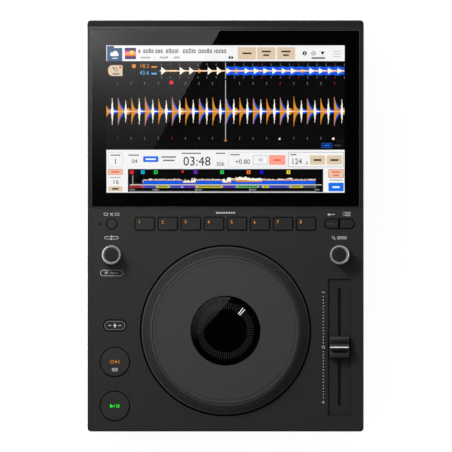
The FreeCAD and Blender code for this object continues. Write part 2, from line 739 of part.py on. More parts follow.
def deck_outline(border, low_z, high_z):
    """The deck panel's outline, border mm inside the case's sides and front."""
    depth = DECK_DEPTH - border
    corner = CORNER_RADIUS - border
    outline = plate(BODY_WIDTH - 2 * border, depth + 2 * corner, corner, low_z, high_z,
                    0, FRONT_Y + border + depth / 2 + corner)
    return outline.cut(box(-SIDE_X, SCREEN_Y, low_z - OVER, SIDE_X, REAR_Y, high_z + OVER))


def pad_x(index):
    return PAD_PITCH * (index - (PAD_COUNT - 1) / 2)


def pad_shape(grow, low_z, high_z, index):
    return plate(PAD_WIDTH + 2 * grow, PAD_DEPTH + 2 * grow, PAD_CORNER + grow,
                 low_z, high_z, pad_x(index), PAD_ROW_Y)


def delete_shape(grow, low_z, high_z):
    return disc(DELETE_RADIUS + grow, low_z, high_z, -COLUMN_X, PAD_ROW_Y)


def pair_shape(side, grow, low_z, high_z):
    """Half of the capsule that the two browse keys share, less half of the rib between them."""
    whole = capsule(PAIR_WIDTH + 2 * grow, PAIR_DEPTH + 2 * grow, low_z, high_z, COLUMN_X, PAD_ROW_Y)
    near = COLUMN_X + side * (PAIR_RIB / 2 + BUTTON_GAP - min(grow, BUTTON_GAP))
    low_x, high_x = sorted((near, COLUMN_X + side * PAIR_WIDTH))
    reach = PAIR_DEPTH
    keep = box(low_x, PAD_ROW_Y - reach, low_z - OVER, high_x, PAD_ROW_Y + reach, high_z + OVER)
    return whole.common(keep)


def shift_shape(grow, low_z, high_z):
    return capsule(SHIFT_WIDTH + 2 * grow, SHIFT_DEPTH + 2 * grow, low_z, high_z,
                   TRANSPORT_X, FRONT_Y + SHIFT_FROM_FRONT)


def transport_shape(from_front, grow, low_z, high_z):
    return disc(TRANSPORT_RADIUS + grow, low_z, high_z, TRANSPORT_X, FRONT_Y + from_front)


def buttons():
    """Name, outline maker, centre and travel of every button that drops through the deck."""
    made = {}
    for k in range(PAD_COUNT):
        shape = lambda g, a, b, k=k: pad_shape(g, a, b, k)
        made[f"pad_{k + 1}"] = (shape, (pad_x(k), PAD_ROW_Y), PAD_TRAVEL)
    made["delete_button"] = (delete_shape, (-COLUMN_X, PAD_ROW_Y), KEY_TRAVEL)
    quarter = PAIR_WIDTH / 4
    for name, side in (("back_button", -1), ("tag_button", 1)):
        shape = lambda g, a, b, side=side: pair_shape(side, g, a, b)
        made[name] = (shape, (COLUMN_X + side * quarter, PAD_ROW_Y), KEY_TRAVEL)
    made["shift_button"] = (shift_shape, (TRANSPORT_X, FRONT_Y + SHIFT_FROM_FRONT), KEY_TRAVEL)
    for name, place in (("cue_button", CUE_FROM_FRONT), ("play_button", PLAY_FROM_FRONT)):
        made[name] = (lambda g, a, b, p=place: transport_shape(p, g, a, b),
                      (TRANSPORT_X, FRONT_Y + place), TRANSPORT_TRAVEL)
    return made


def make_button(shape, centre, travel):
    """A cap that stands a little proud, a flange under the deck and a boss over its switch."""
    top = DECK_Z + BUTTON_PROUD
    cap = round_edges(shape(0, DECK_UNDER_Z - BUTTON_FLANGE_THICKNESS, top), BUTTON_TOP_ROUND, edges_at(top))
    flange = shape(BUTTON_GAP + BUTTON_FLANGE, DECK_UNDER_Z - BUTTON_FLANGE_THICKNESS, DECK_UNDER_Z)
    boss = disc(BUTTON_BOSS_RADIUS, switch_top_z() + travel + TRAVEL_REST,
                DECK_UNDER_Z - BUTTON_FLANGE_THICKNESS, *centre)
    return joined([cap, flange, boss])


def switch_top_z():
    return KEY_BOARD_Z + SWITCH_BODY_HEIGHT + SWITCH_PLUNGER_HEIGHT


def make_key_switches():
    """One small push switch on the boards under each button."""
    made = []
    for shape, (x, y), travel in buttons().values():
        half = SWITCH_SIDE / 2
        body_top = KEY_BOARD_Z + SWITCH_BODY_HEIGHT
        body = box(x - half, y - half, KEY_BOARD_Z, x + half, y + half, body_top)
        made.append(joined([body, disc(SWITCH_PLUNGER_RADIUS, body_top, switch_top_z(), x, y)]))
    return group(made)


def knob_places():
    return {"beat": (-COLUMN_X, KNOB_Y), "browse": (COLUMN_X, KNOB_Y)}


def led_place():
    return -COLUMN_X - LED_FROM_DELETE, PAD_ROW_Y


def make_deck_panel():
    """The control plate, with its holes and the posts that carry the boards under it."""
    panel = deck_outline(DECK_BORDER + DECK_GAP, DECK_UNDER_Z, DECK_Z)
    panel = panel.cut(box(-SIDE_X, SCREEN_Y - DECK_GAP, DECK_UNDER_Z - OVER, SIDE_X, REAR_Y, DECK_Z + OVER))
    posts = [disc(STANDOFF_RADIUS, KEY_BOARD_Z, DECK_UNDER_Z, x, y) for x, y in deck_post_places()]
    panel = panel.fuse(posts)
    low, high = DECK_UNDER_Z - OVER, DECK_Z + OVER
    holes = [disc(JOG_OPENING_RADIUS, low, high, 0, JOG_Y)]
    holes += [shape(BUTTON_GAP, low, high) for shape, centre, travel in buttons().values()]
    holes += [disc(BUSH_RADIUS + BUSH_HOLE_GAP, low, high, x, y) for x, y in knob_places().values()]
    holes.append(disc(LED_RADIUS + LED_GAP, low, high, *led_place()))
    holes.append(plate(TRAY_WIDTH, TRAY_LENGTH, PAD_CORNER, low, high, COLUMN_X, TRAY_Y))
    holes += [screw_hole(x, y, KEY_BOARD_Z - OVER, KEY_BOARD_Z + SCREW_BITE) for x, y in deck_post_places()]
    blind = jog_base_screw_places() + tray_screw_places()
    holes += [small_hole(x, y, low, DECK_Z - BLIND_FLOOR) for x, y in blind]
    return panel.cut(holes).removeSplitter()


def make_status_led():
    """The light pipe beside the delete button, standing on the left key board."""
    x, y = led_place()
    foot = disc(LED_FOOT_RADIUS, KEY_BOARD_Z, DECK_UNDER_Z - SEAT_GAP, x, y)
    return joined([foot, disc(LED_RADIUS, KEY_BOARD_Z, DECK_Z - SEAT_GAP, x, y)])


def frame_plane_z(y):
    """Height of the tilted frame plane at y."""
    return DECK_Z + FRAME_PROUD + (y - SCREEN_Y) * math.tan(TILT)


def make_display_hood():
    """The tilted frame: two cheeks, the ledge behind the glass and the lip that the glass lies on."""
    tip_y = SCREEN_Y - FRAME_PROUD / math.tan(TILT)
    ledge_y = REAR_Y - REAR_LEDGE
    ledge_z = frame_plane_z(ledge_y)
    outline = [(tip_y, DECK_Z), (ledge_y, ledge_z), (REAR_Y, ledge_z - REAR_LEDGE_FALL), (REAR_Y, DECK_Z)]
    wedge = side_profile(outline, -SIDE_X, SIDE_X)
    corners = plate(BODY_WIDTH, BODY_DEPTH, CORNER_RADIUS, FLOOR_Z, ledge_z + OVER)
    wedge = wedge.common(corners)
    wedge = round_edges(wedge, CHEEK_ROUND, is_hood_edge)
    wedge = wedge.cut(box(-SIDE_X, tip_y - OVER, DECK_Z - OVER, SIDE_X, SCREEN_Y, DECK_Z + 2 * OVER))
    lip_top = FRAME_PROUD + GLASS_THICKNESS
    lip_low = lip_top + LIP_THICKNESS
    cavity = on_screen(2 * INNER_X, -DECK_DEPTH, BODY_DEPTH, lip_low, BODY_DEPTH)
    cavity = cavity.common(box(-INNER_X, FRONT_Y, FLOOR_Z, INNER_X, POCKET_END_Y, BODY_DEPTH))
    hollow_y, hollow_top = POCKET_END_Y - OVER, ledge_z - CASE_WALL - REAR_BAND
    section = [(hollow_y, DECK_Z - OVER), (hollow_y, hollow_top), (INNER_REAR_Y, hollow_top),
               (INNER_REAR_Y, DECK_Z - OVER)]
    ledge_hollow = side_profile(section, -INNER_X, INNER_X)
    hood = wedge.cut([cavity, ledge_hollow])
    lip = on_screen(2 * (INNER_X - SEAT_GAP), 0, POCKET_LENGTH + GLASS_LIP / 2, lip_top, lip_low)
    posts = []
    for x, y in hood_post_places():
        posts.append(disc(HOOD_POST_RADIUS, hood_post_low_z(), frame_plane_z(y) - lip_top, x, y))
    hood = hood.fuse([lip] + posts)
    pocket = on_screen(POCKET_WIDTH, 0, POCKET_LENGTH, -2 * FRAME_PROUD, lip_top)
    reach = GLASS_GAP + GLASS_LIP
    window = on_screen(POCKET_WIDTH - 2 * reach, reach, POCKET_LENGTH - reach, -OVER, lip_low + OVER)
    front_slack = box(-SIDE_X, FRONT_Y, FLOOR_Z, SIDE_X, SCREEN_Y + DECK_GAP, DECK_Z + 2 * OVER)
    bottom = hood_post_low_z()
    holes = [screw_hole(x, y, bottom - OVER, bottom + SCREW_BITE) for x, y in hood_post_places()]
    return hood.cut([pocket, window, front_slack] + holes + bracket_holes()).removeSplitter()


def is_hood_edge(edge):
    """The cheeks' and the ledge's outer top edges, and the back corners' upright edges stay as they are."""
    spot = edge.BoundBox
    along_side = spot.XLength < 0.01 and abs(abs(spot.XMin) - SIDE_X) < 0.01
    sloping = along_side and spot.YLength > REAR_LEDGE and spot.ZLength > 1.0
    back_top = spot.YMin > REAR_Y - 0.01 and spot.XLength > CORNER_RADIUS * 2 and spot.ZMin > DECK_Z + OVER
    return sloping or back_top


def make_screen_glass():
    """The cover glass over the display."""
    start, back = GLASS_GAP, FRAME_PROUD + GLASS_THICKNESS
    return on_screen(GLASS_WIDTH, start, start + GLASS_LENGTH, FRAME_PROUD, back)


def lcd_depths():
    """Where the display module starts and ends below the frame plane."""
    start = FRAME_PROUD + GLASS_THICKNESS
    return start, start + LCD_THICKNESS


def make_lcd_panel():
    """The display module, bonded to the back of the glass inside the lip."""
    start, end = lcd_depths()
    inset = GLASS_GAP + LCD_END_MARGIN
    return on_screen(GLASS_WIDTH - 2 * LCD_SIDE_MARGIN, inset, POCKET_LENGTH - inset, start, end)


def bracket_ears():
    """Start and end of each ear, up the slope."""
    near = BRACKET_EAR_FROM_END
    far = POCKET_LENGTH - BRACKET_EAR_FROM_END - BRACKET_EAR_LENGTH
    return [(start, start + BRACKET_EAR_LENGTH) for start in (near, far)]


def bracket_screw_places():
    """The bracket's screws in the screen's axes: x, and distance up the slope."""
    half = GLASS_WIDTH / 2 - LCD_SIDE_MARGIN + BRACKET_THICKNESS + SEAT_GAP
    x = half + BRACKET_EAR - SMALL_HEAD_RADIUS
    return [(side * x, (start + end) / 2) for start, end in bracket_ears() for side in (-1, 1)]


def bracket_screw(x, along, radius):
    """A screw's shank, or the hole for it, through an ear and into the lip."""
    ear_back = FRAME_PROUD + GLASS_THICKNESS + LIP_THICKNESS + BRACKET_THICKNESS
    tip = FRAME_PROUD + GLASS_THICKNESS + BLIND_FLOOR
    return tilted(disc(radius, -ear_back, -tip, x, along))


def bracket_holes():
    radius = SMALL_SCREW_RADIUS + SCREW_HOLE_GAP
    return [bracket_screw(x, along, radius) for x, along in bracket_screw_places()]


def make_lcd_bracket():
    """A steel pan behind the display module, with ears that bear on the back of the lip."""
    start, end = lcd_depths()
    lip_low = start + LIP_THICKNESS
    inset = GLASS_GAP + LCD_END_MARGIN
    width = GLASS_WIDTH - 2 * LCD_SIDE_MARGIN
    grow = BRACKET_THICKNESS + SEAT_GAP
    pan = on_screen(width + 2 * grow, inset, POCKET_LENGTH - inset, lip_low, end + BRACKET_THICKNESS)
    hollow = on_screen(width + 2 * SEAT_GAP, 0, POCKET_LENGTH, 0, end)
    ears = []
    ear_width = width + 2 * (grow + BRACKET_EAR)
    for start, end in bracket_ears():
        ears.append(on_screen(ear_width, start, end, lip_low, lip_low + BRACKET_THICKNESS))
    return pan.fuse(ears).cut([hollow] + bracket_holes()).removeSplitter()


def make_rear_panel():
    """The sheet metal tray that lines the socket bay, holed for the sockets."""
    half = BAY_WIDTH / 2
    outer = box(-half, BAY_Y - BAY_SHEET, BAY_LOW_Z, half, REAR_Y - SEAT_GAP, BAY_HIGH_Z)
    inside = half - BAY_SHEET
    inner = box(-inside, BAY_Y, BAY_LOW_Z + BAY_SHEET, inside, REAR_Y, BAY_HIGH_Z - BAY_SHEET)
    tray = outer.cut(inner)
    holes = [socket_cutter(lan_x(), LAN_WIDTH, LAN_HEIGHT), socket_cutter(LINK_X, LINK_WIDTH, LINK_HEIGHT)]
    low_z, high_z = inlet_span()
    holes.append(box(INLET_X - INLET_WIDTH / 2 - SOCKET_GAP, BAY_Y - BAY_SHEET - OVER, low_z - SOCKET_GAP,
                     INLET_X + INLET_WIDTH / 2 + SOCKET_GAP, BAY_Y + OVER, high_z + SOCKET_GAP))
    for x in jack_xs():
        holes.append(rod(JACK_RADIUS + SOCKET_GAP, BAY_Y - BAY_SHEET - OVER, BAY_Y + OVER, x, jack_z()))
    holes.append(rod(POWER_BUTTON_RADIUS + SOCKET_GAP, BAY_Y - BAY_SHEET - OVER, BAY_Y + OVER,
                     POWER_BUTTON_X, power_button_z()))
    sheet_top = BAY_LOW_Z + BAY_SHEET
    holes += [screw_hole(x, y, BAY_LOW_Z - OVER, sheet_top + OVER) for x, y in bay_post_places()]
    return tray.cut(holes)


def inlet_span():
    """Low and high z of the mains inlet."""
    middle = (BAY_LOW_Z + BAY_HIGH_Z) / 2
    return middle - INLET_HEIGHT / 2, middle + INLET_HEIGHT / 2


def jack_z():
    return BOARD_Z + JACK_BLOCK_WIDTH / 2


def power_button_z():
    return (BAY_LOW_Z + BAY_HIGH_Z) / 2


def make_ac_inlet():
    """A three pin mains inlet: a block with a keyed cavity and three flat pins."""
    low_z, high_z = inlet_span()
    middle = (low_z + high_z) / 2
    back = BAY_Y - INLET_DEPTH
    block = box(INLET_X - INLET_WIDTH / 2, back, low_z, INLET_X + INLET_WIDTH / 2, BAY_Y, high_z)
    rim = INLET_WIDTH / 2 + INLET_FLANGE
    flange = box(INLET_X - rim, BAY_Y, low_z - INLET_FLANGE, INLET_X + rim, BAY_Y + INLET_FLANGE_THICKNESS,
                 high_z + INLET_FLANGE)
    half, rise = INLET_CAVITY_WIDTH / 2, INLET_CAVITY_HEIGHT / 2
    outline = [(-half, -rise), (half, -rise), (half, rise - INLET_CORNER), (half - INLET_CORNER, rise),
               (INLET_CORNER - half, rise), (-half, rise - INLET_CORNER)]
    points = [Vector(INLET_X + x, BAY_Y - INLET_CAVITY_DEPTH, middle + z) for x, z in outline]
    depth = INLET_CAVITY_DEPTH + 2 * INLET_FLANGE_THICKNESS
    cavity = Part.Face(Part.makePolygon(points + points[:1])).extrude(Vector(0, depth, 0))
    pins = []
    spread, rise = INLET_PIN_SPREAD, INLET_PIN_RISE
    for offset, lift in ((-spread, -rise), (0, rise), (spread, -rise)):
        x, z = INLET_X + offset, middle + lift
        pins.append(box(x - INLET_PIN_WIDTH / 2, back, z - INLET_PIN_HEIGHT / 2,
                        x + INLET_PIN_WIDTH / 2, BAY_Y - INLET_PIN_SETBACK, z + INLET_PIN_HEIGHT / 2))
    return block.fuse(flange).cut(cavity).fuse(pins).removeSplitter()


def make_rca_jacks():
    """Three phono jacks: a block on the main board, a washer and a barrel that stands out of the panel."""
    jacks = []
    for x in jack_xs():
        front = BAY_Y - BAY_SHEET
        half = JACK_BLOCK_WIDTH / 2
        block = box(x - half, front - JACK_BLOCK_DEPTH, BOARD_Z, x + half, front, BOARD_Z + JACK_BLOCK_WIDTH)
        tip = BAY_Y + JACK_LENGTH
        barrel = rod(JACK_RADIUS, front - OVER, tip, x, jack_z())
        washer = rod(JACK_FLANGE_RADIUS, BAY_Y, BAY_Y + JACK_FLANGE_THICKNESS, x, jack_z())
        bore = rod(JACK_BORE_RADIUS, tip - JACK_BORE_DEPTH, tip + OVER, x, jack_z())
        jacks.append(joined([block, barrel, washer]).cut(bore))
    return group(jacks)


def make_lan_jack():
    """A network socket with its keyed mouth."""
    x = lan_x()
    half = LAN_WIDTH / 2
    block = box(x - half, BAY_Y - LAN_DEPTH, BOARD_Z, x + half, BAY_Y, BOARD_Z + LAN_HEIGHT)
    low_z = BOARD_Z + (LAN_HEIGHT - LAN_CAVITY_HEIGHT) / 2
    high_z = low_z + LAN_CAVITY_HEIGHT
    mouth = LAN_CAVITY_WIDTH / 2
    cavity = box(x - mouth, BAY_Y - LAN_CAVITY_DEPTH, low_z, x + mouth, BAY_Y + OVER, high_z)
    key = box(x - LAN_TAB_WIDTH / 2, BAY_Y - LAN_CAVITY_DEPTH, low_z - LAN_TAB_HEIGHT,
              x + LAN_TAB_WIDTH / 2, BAY_Y + OVER, low_z + OVER)
    return block.cut([cavity, key])


def make_usb_link_port():
    """The square computer port, with its contact tongue."""
    half = LINK_WIDTH / 2
    block = box(LINK_X - half, BAY_Y - LINK_DEPTH, BOARD_Z, LINK_X + half, BAY_Y, BOARD_Z + LINK_HEIGHT)
    middle = BOARD_Z + LINK_HEIGHT / 2
    mouth, rise = LINK_CAVITY_WIDTH / 2, LINK_CAVITY_HEIGHT / 2
    cavity = box(LINK_X - mouth, BAY_Y - LINK_CAVITY_DEPTH, middle - rise,
                 LINK_X + mouth, BAY_Y + OVER, middle + rise)
    tongue = box(LINK_X - LINK_TONGUE_WIDTH / 2, BAY_Y - LINK_DEPTH, middle - LINK_TONGUE_HEIGHT / 2,
                 LINK_X + LINK_TONGUE_WIDTH / 2, BAY_Y - LINK_TONGUE_SETBACK, middle + LINK_TONGUE_HEIGHT / 2)
    return block.cut(cavity).fuse(tongue).removeSplitter()


def make_usb_media_port():
    """The flat port for a memory stick, in the front wall."""
    low_z = media_port_floor_z()
    half = MEDIA_WIDTH / 2
    front = FRONT_Y + SEAT_GAP
    block = box(MEDIA_X - half, front, low_z, MEDIA_X + half, FRONT_Y + MEDIA_DEPTH, low_z + MEDIA_HEIGHT)
    mouth = MEDIA_CAVITY_WIDTH / 2
    cavity_low = low_z + (MEDIA_HEIGHT - MEDIA_CAVITY_HEIGHT) / 2
    cavity = box(MEDIA_X - mouth, FRONT_Y - OVER, cavity_low, MEDIA_X + mouth,
                 front + MEDIA_CAVITY_DEPTH, cavity_low + MEDIA_CAVITY_HEIGHT)
    high_z = cavity_low + MEDIA_CAVITY_HEIGHT - MEDIA_TONGUE_INSET
    reach = mouth - MEDIA_TONGUE_INSET
    tongue = box(MEDIA_X - reach, front + MEDIA_TONGUE_SETBACK, high_z - MEDIA_TONGUE_HEIGHT, MEDIA_X + reach,
                 FRONT_Y + MEDIA_DEPTH, high_z)
    return block.cut(cavity).fuse(tongue).removeSplitter()


def make_power_button():
    """The round button beside the mains inlet; its flange lies behind the panel."""
    z = power_button_z()
    seat = BAY_Y - BAY_SHEET
    stem = rod(POWER_BUTTON_RADIUS, seat - POWER_BUTTON_STEM, BAY_Y + POWER_BUTTON_PROUD, POWER_BUTTON_X, z)
    flange = rod(POWER_BUTTON_RADIUS + POWER_BUTTON_FLANGE, seat - POWER_BUTTON_RIM, seat, POWER_BUTTON_X, z)
    return joined([stem, flange])


def make_power_switch():
    """The latching switch behind the power button, on its own bracket from the power board."""
    z = power_button_z()
    front = BAY_Y - BAY_SHEET - POWER_BUTTON_STEM - POWER_BUTTON_TRAVEL - TRAVEL_REST
    half = POWER_BUTTON_RADIUS
    low_x, low_y, high_x, high_y = power_board_box()
    body = box(POWER_BUTTON_X - half, high_y - BOARD_HOLE_INSET, BOARD_Z, POWER_BUTTON_X + half,
               front - POWER_SWITCH_NOSE, z + half)
    nose = rod(POWER_SWITCH_NOSE_RADIUS, front - POWER_SWITCH_NOSE, front, POWER_BUTTON_X, z)
    return joined([body, nose])


def make_main_board():
    """The main circuit board, with the processor that lies under the heat sink."""
    low_x, low_y, high_x, high_y = main_board_box()
    board = box(low_x, low_y, BOARD_Z - BOARD_THICKNESS, high_x, high_y, BOARD_Z)
    board = board.cut([screw_hole(x, y, FLOOR_Z, DECK_Z) for x, y in board_holes(*main_board_box())])
    x, y = chip_place()
    return group([board, plate(CHIP_SIDE, CHIP_SIDE, CHIP_CORNER, BOARD_Z, BOARD_Z + CHIP_HEIGHT, x, y)])


def chip_place():
    low_x, low_y, high_x, high_y = main_board_box()
    return (low_x + high_x) / 2, (low_y + high_y) / 2


def make_heat_sink():
    """A finned block that lies on the processor."""
    x, y = chip_place()
    low_z = BOARD_Z + CHIP_HEIGHT
    half = HEAT_SINK_SIDE / 2
    base = box(x - half, y - half, low_z, x + half, y + half, low_z + 2 * FIN_THICKNESS)
    pitch = (HEAT_SINK_SIDE - FIN_THICKNESS) / (HEAT_SINK_FINS - 1)
    fins = []
    for k in range(HEAT_SINK_FINS):
        start = x - half + pitch * k
        fins.append(box(start, y - half, low_z, start + FIN_THICKNESS, y + half, low_z + HEAT_SINK_HEIGHT))
    return joined([base] + fins)


def make_power_board():
    """The mains power board."""
    low_x, low_y, high_x, high_y = power_board_box()
    board = box(low_x, low_y, BOARD_Z - BOARD_THICKNESS, high_x, high_y, BOARD_Z)
    return board.cut([screw_hole(x, y, FLOOR_Z, DECK_Z) for x, y in board_holes(*power_board_box())])


def make_power_parts():
    """The transformer, a core with a coil that bulges from its two faces, and two standing capacitors."""
    low_x, low_y, high_x, high_y = power_board_box()
    x, y = (low_x + high_x) / 2, (low_y + high_y) / 2
    half = TRANSFORMER_SIDE / 2
    core = box(x - half, y - half, BOARD_Z, x + half, y + half, BOARD_Z + TRANSFORMER_HEIGHT)
    coil_half = half - TRANSFORMER_COIL_OVERHANG
    coil = box(x - coil_half, y - half - TRANSFORMER_COIL_OVERHANG, BOARD_Z, x + coil_half,
               y + half + TRANSFORMER_COIL_OVERHANG, BOARD_Z + TRANSFORMER_HEIGHT - TRANSFORMER_COIL_OVERHANG)
    parts = [joined([core, coil])]
    can_y = low_y + BOARD_HOLE_INSET + 2 * CAPACITOR_RADIUS
    for side in (-1, 1):
        can_x = x + side * 1.5 * CAPACITOR_RADIUS
        parts.append(disc(CAPACITOR_RADIUS, BOARD_Z, BOARD_Z + CAPACITOR_HEIGHT, can_x, can_y))
    return group(parts)


def make_key_boards():
    """The boards that hang under the deck: one for each column of controls and one for the pads."""
    boards = []
    for low_x, low_y, high_x, high_y in (key_board_box(-1), key_board_box(1), pad_board_box()):
        board = box(low_x, low_y, KEY_BOARD_Z - BOARD_THICKNESS, high_x, high_y, KEY_BOARD_Z)
        boards.append(board.cut([screw_hole(x, y, FLOOR_Z, DECK_Z) for x, y in deck_post_places()]))
    return group(boards)


def encoder_levels():
    """Heights of an encoder: cavity floor, plunger top, body top and bush top."""
    floor = KEY_BOARD_Z + ENCODER_WALL
    plunger_top = floor + PUSH_TRAVEL + TRAVEL_REST + PLUNGER_THICKNESS
    body_top = KEY_BOARD_Z + ENCODER_HEIGHT
    bush_top = DECK_Z + BUSH_RISE
    return floor, plunger_top, body_top, bush_top


def make_encoder_housings():
    """Two square encoder bodies on the key boards, each with a bush that passes through the deck."""
    floor, plunger_top, body_top, bush_top = encoder_levels()
    made = []
    for x, y in knob_places().values():
        half = ENCODER_BODY / 2
        body = box(x - half, y - half, KEY_BOARD_Z, x + half, y + half, body_top)
        bush = disc(BUSH_RADIUS, body_top, bush_top, x, y)
        shaft_hole = disc(SHAFT_RADIUS + SHAFT_RUNNING_GAP, floor, bush_top + OVER, x, y)
        chamber = disc(half - ENCODER_WALL, floor, body_top - ENCODER_WALL, x, y)
        made.append(joined([body, bush]).cut([shaft_hole, chamber]))
    return group(made)


def make_encoder_nuts():
    """The nuts that clamp the encoders' bushes to the deck."""
    made = []
    top = DECK_Z + NUT_THICKNESS
    for x, y in knob_places().values():
        turns = [math.pi * k / 3 for k in range(6)]
        corners = [Vector(x + NUT_RADIUS * math.cos(a), y + NUT_RADIUS * math.sin(a), DECK_Z) for a in turns]
        nut = Part.Face(Part.makePolygon(corners + corners[:1])).extrude(Vector(0, 0, NUT_THICKNESS))
        made.append(nut.cut(disc(BUSH_RADIUS + SHAFT_RUNNING_GAP, DECK_Z - OVER, top + OVER, x, y)))
    return group(made)


def make_plunger(x, y):
    """The plunger that the shaft pushes down inside its encoder."""
    floor, plunger_top, body_top, bush_top = encoder_levels()
    radius = ENCODER_BODY / 2 - ENCODER_WALL - PLUNGER_GAP
    return disc(radius, plunger_top - PLUNGER_THICKNESS, plunger_top, x, y)


def knob_levels():
    """Heights of a knob: lower edge, shaft top and upper edge."""
    low = DECK_Z + KNOB_LIFT
    return low, low + KNOB_HEIGHT - KNOB_SHOULDER, low + KNOB_HEIGHT


def make_shaft(x, y):
    """The encoder shaft, from the plunger up into the knob, with a collar that keeps it in its bush."""
    floor, plunger_top, body_top, bush_top = encoder_levels()
    shaft = disc(SHAFT_RADIUS, plunger_top, knob_levels()[1] - SEAT_GAP, x, y)
    return joined([shaft, disc(SHAFT_RADIUS + SHAFT_COLLAR, plunger_top, plunger_top + SHAFT_COLLAR, x, y)])


def make_knob(x, y):
    """A hollow knob with a broad rounded shoulder, a dished top and a hub that grips the shaft."""
    low, shaft_top, high = knob_levels()
    dish = KNOB_RADIUS - KNOB_SHOULDER
    middle = KNOB_SHOULDER * math.sqrt(0.5)
    start = Vector(KNOB_RADIUS, 0, high - KNOB_SHOULDER)
    crown = Vector(dish + middle, 0, high - KNOB_SHOULDER + middle)
    end = Vector(dish, 0, high)
    shoulder = Part.Arc(start, crown, end).toShape()
    hub_low = shaft_top - SHAFT_BITE
    bore_top = Vector(KNOB_RADIUS - KNOB_WALL, 0, shaft_top - KNOB_WALL)
    path = [end, Vector(dish - KNOB_DISH_SLOPE, 0, high - KNOB_DISH), Vector(0, 0, high - KNOB_DISH),
            Vector(0, 0, shaft_top),
            Vector(SHAFT_RADIUS, 0, shaft_top), Vector(SHAFT_RADIUS, 0, hub_low),
            Vector(KNOB_HUB_RADIUS, 0, hub_low), Vector(KNOB_HUB_RADIUS, 0, shaft_top - KNOB_WALL),
            bore_top, Vector(KNOB_RADIUS - KNOB_WALL, 0, low), Vector(KNOB_RADIUS, 0, low), start]
    lines = [Part.makeLine(a, b) for a, b in zip(path, path[1:])]
    knob = Part.Face(Part.Wire([shoulder] + lines)).revolve(Vector(0, 0, 0), Vector(0, 0, 1), 360)
    knob.translate(Vector(x, y, 0))
    return knob


def jog_levels():
    """Heights in the jog wheel that more than one piece shares."""
    top = DECK_Z + JOG_RISE
    web_top = top - JOG_WEB_DROP
    base_floor = DECK_UNDER_Z - JOG_BASE_DEPTH
    bearing_top = web_top - JOG_WEB_THICKNESS - SEAT_GAP
    return top, web_top, base_floor, bearing_top


def jog_rim_radius():
    return JOG_OPENING_RADIUS - JOG_RIM_GAP


def jog_plate_radius():
    return jog_rim_radius() - JOG_BEVEL_WIDTH - 2 * JOG_PLATE_GAP


def make_jog_rim():
    """The outer ring of the jog wheel, with its broad bevel and a lip that keeps the top plate down."""
    top, web_top, base_floor, bearing_top = jog_levels()
    outer = jog_rim_radius()
    inner = jog_plate_radius() + JOG_PLATE_GAP
    shelf = outer - JOG_RIM_WALL
    skirt = web_top - JOG_WEB_THICKNESS - SEAT_GAP
    lip = top - JOG_LIP_THICKNESS
    under = lip - JOG_PLATE_FLANGE - JOG_TOUCH_TRAVEL - SEAT_GAP
    flange_room = inner + JOG_PLATE_LIP
    inside = shelf - JOG_RIM_WALL
    profile = [(outer, skirt), (outer, top - JOG_BEVEL_DROP), (outer - JOG_BEVEL_WIDTH, top), (inner, top),
               (inner, lip), (flange_room, lip), (flange_room, under), (inside, web_top + JOG_SHELF_RISE),
               (inside, web_top), (shelf, web_top), (shelf, skirt)]
    return turned(profile, 0, JOG_Y)


def make_jog_top_plate():
    """The flat ring that the hand rests on; it gives a little when touched."""
    top, web_top, base_floor, bearing_top = jog_levels()
    outer = jog_plate_radius()
    inner = JOG_WINDOW_RADIUS + JOG_PLATE_GAP
    flange_top = top - JOG_LIP_THICKNESS - TRAVEL_REST
    groove = outer - JOG_PLATE_GROOVE_INSET
    groove_in, groove_z = groove - JOG_GROOVE_WIDTH, top - JOG_GROOVE_DEPTH
    low = top - JOG_PLATE_THICKNESS
    profile = [(inner, top), (groove_in, top), (groove_in, groove_z), (groove, groove_z), (groove, top),
               (outer, top), (outer, flange_top), (outer + JOG_PLATE_LIP, flange_top),
               (outer + JOG_PLATE_LIP, low), (inner, low)]
    return turned(profile, 0, JOG_Y)


def make_jog_carrier():
    """The web that joins the rim to the sleeve on the bearing, with a rib under the top plate."""
    top, web_top, base_floor, bearing_top = jog_levels()
    bore = JOG_POST_RADIUS + JOG_BEARING_WALL + JOG_RUNNING_GAP
    sleeve = bore + JOG_SLEEVE_WALL
    web_low = web_top - JOG_WEB_THICKNESS
    sleeve_low = bearing_top - JOG_BEARING_HEIGHT + TRAVEL_REST
    sleeve_top = top - JOG_WINDOW_THICKNESS - JOG_DISPLAY_THICKNESS - SEAT_GAP
    outer = jog_rim_radius() - JOG_RIM_WALL - JOG_BOND_GAP
    rib_top = top - JOG_PLATE_THICKNESS - JOG_TOUCH_TRAVEL - TRAVEL_REST
    rib_out = JOG_RIB_RADIUS + JOG_RIB_WIDTH
    profile = [(bore, sleeve_low), (sleeve, sleeve_low), (sleeve, web_low), (outer, web_low),
               (outer, web_top), (rib_out, web_top), (rib_out, rib_top), (JOG_RIB_RADIUS, rib_top),
               (JOG_RIB_RADIUS, web_top), (sleeve, web_top), (sleeve, sleeve_top), (bore, sleeve_top)]
    return turned(profile, 0, JOG_Y)


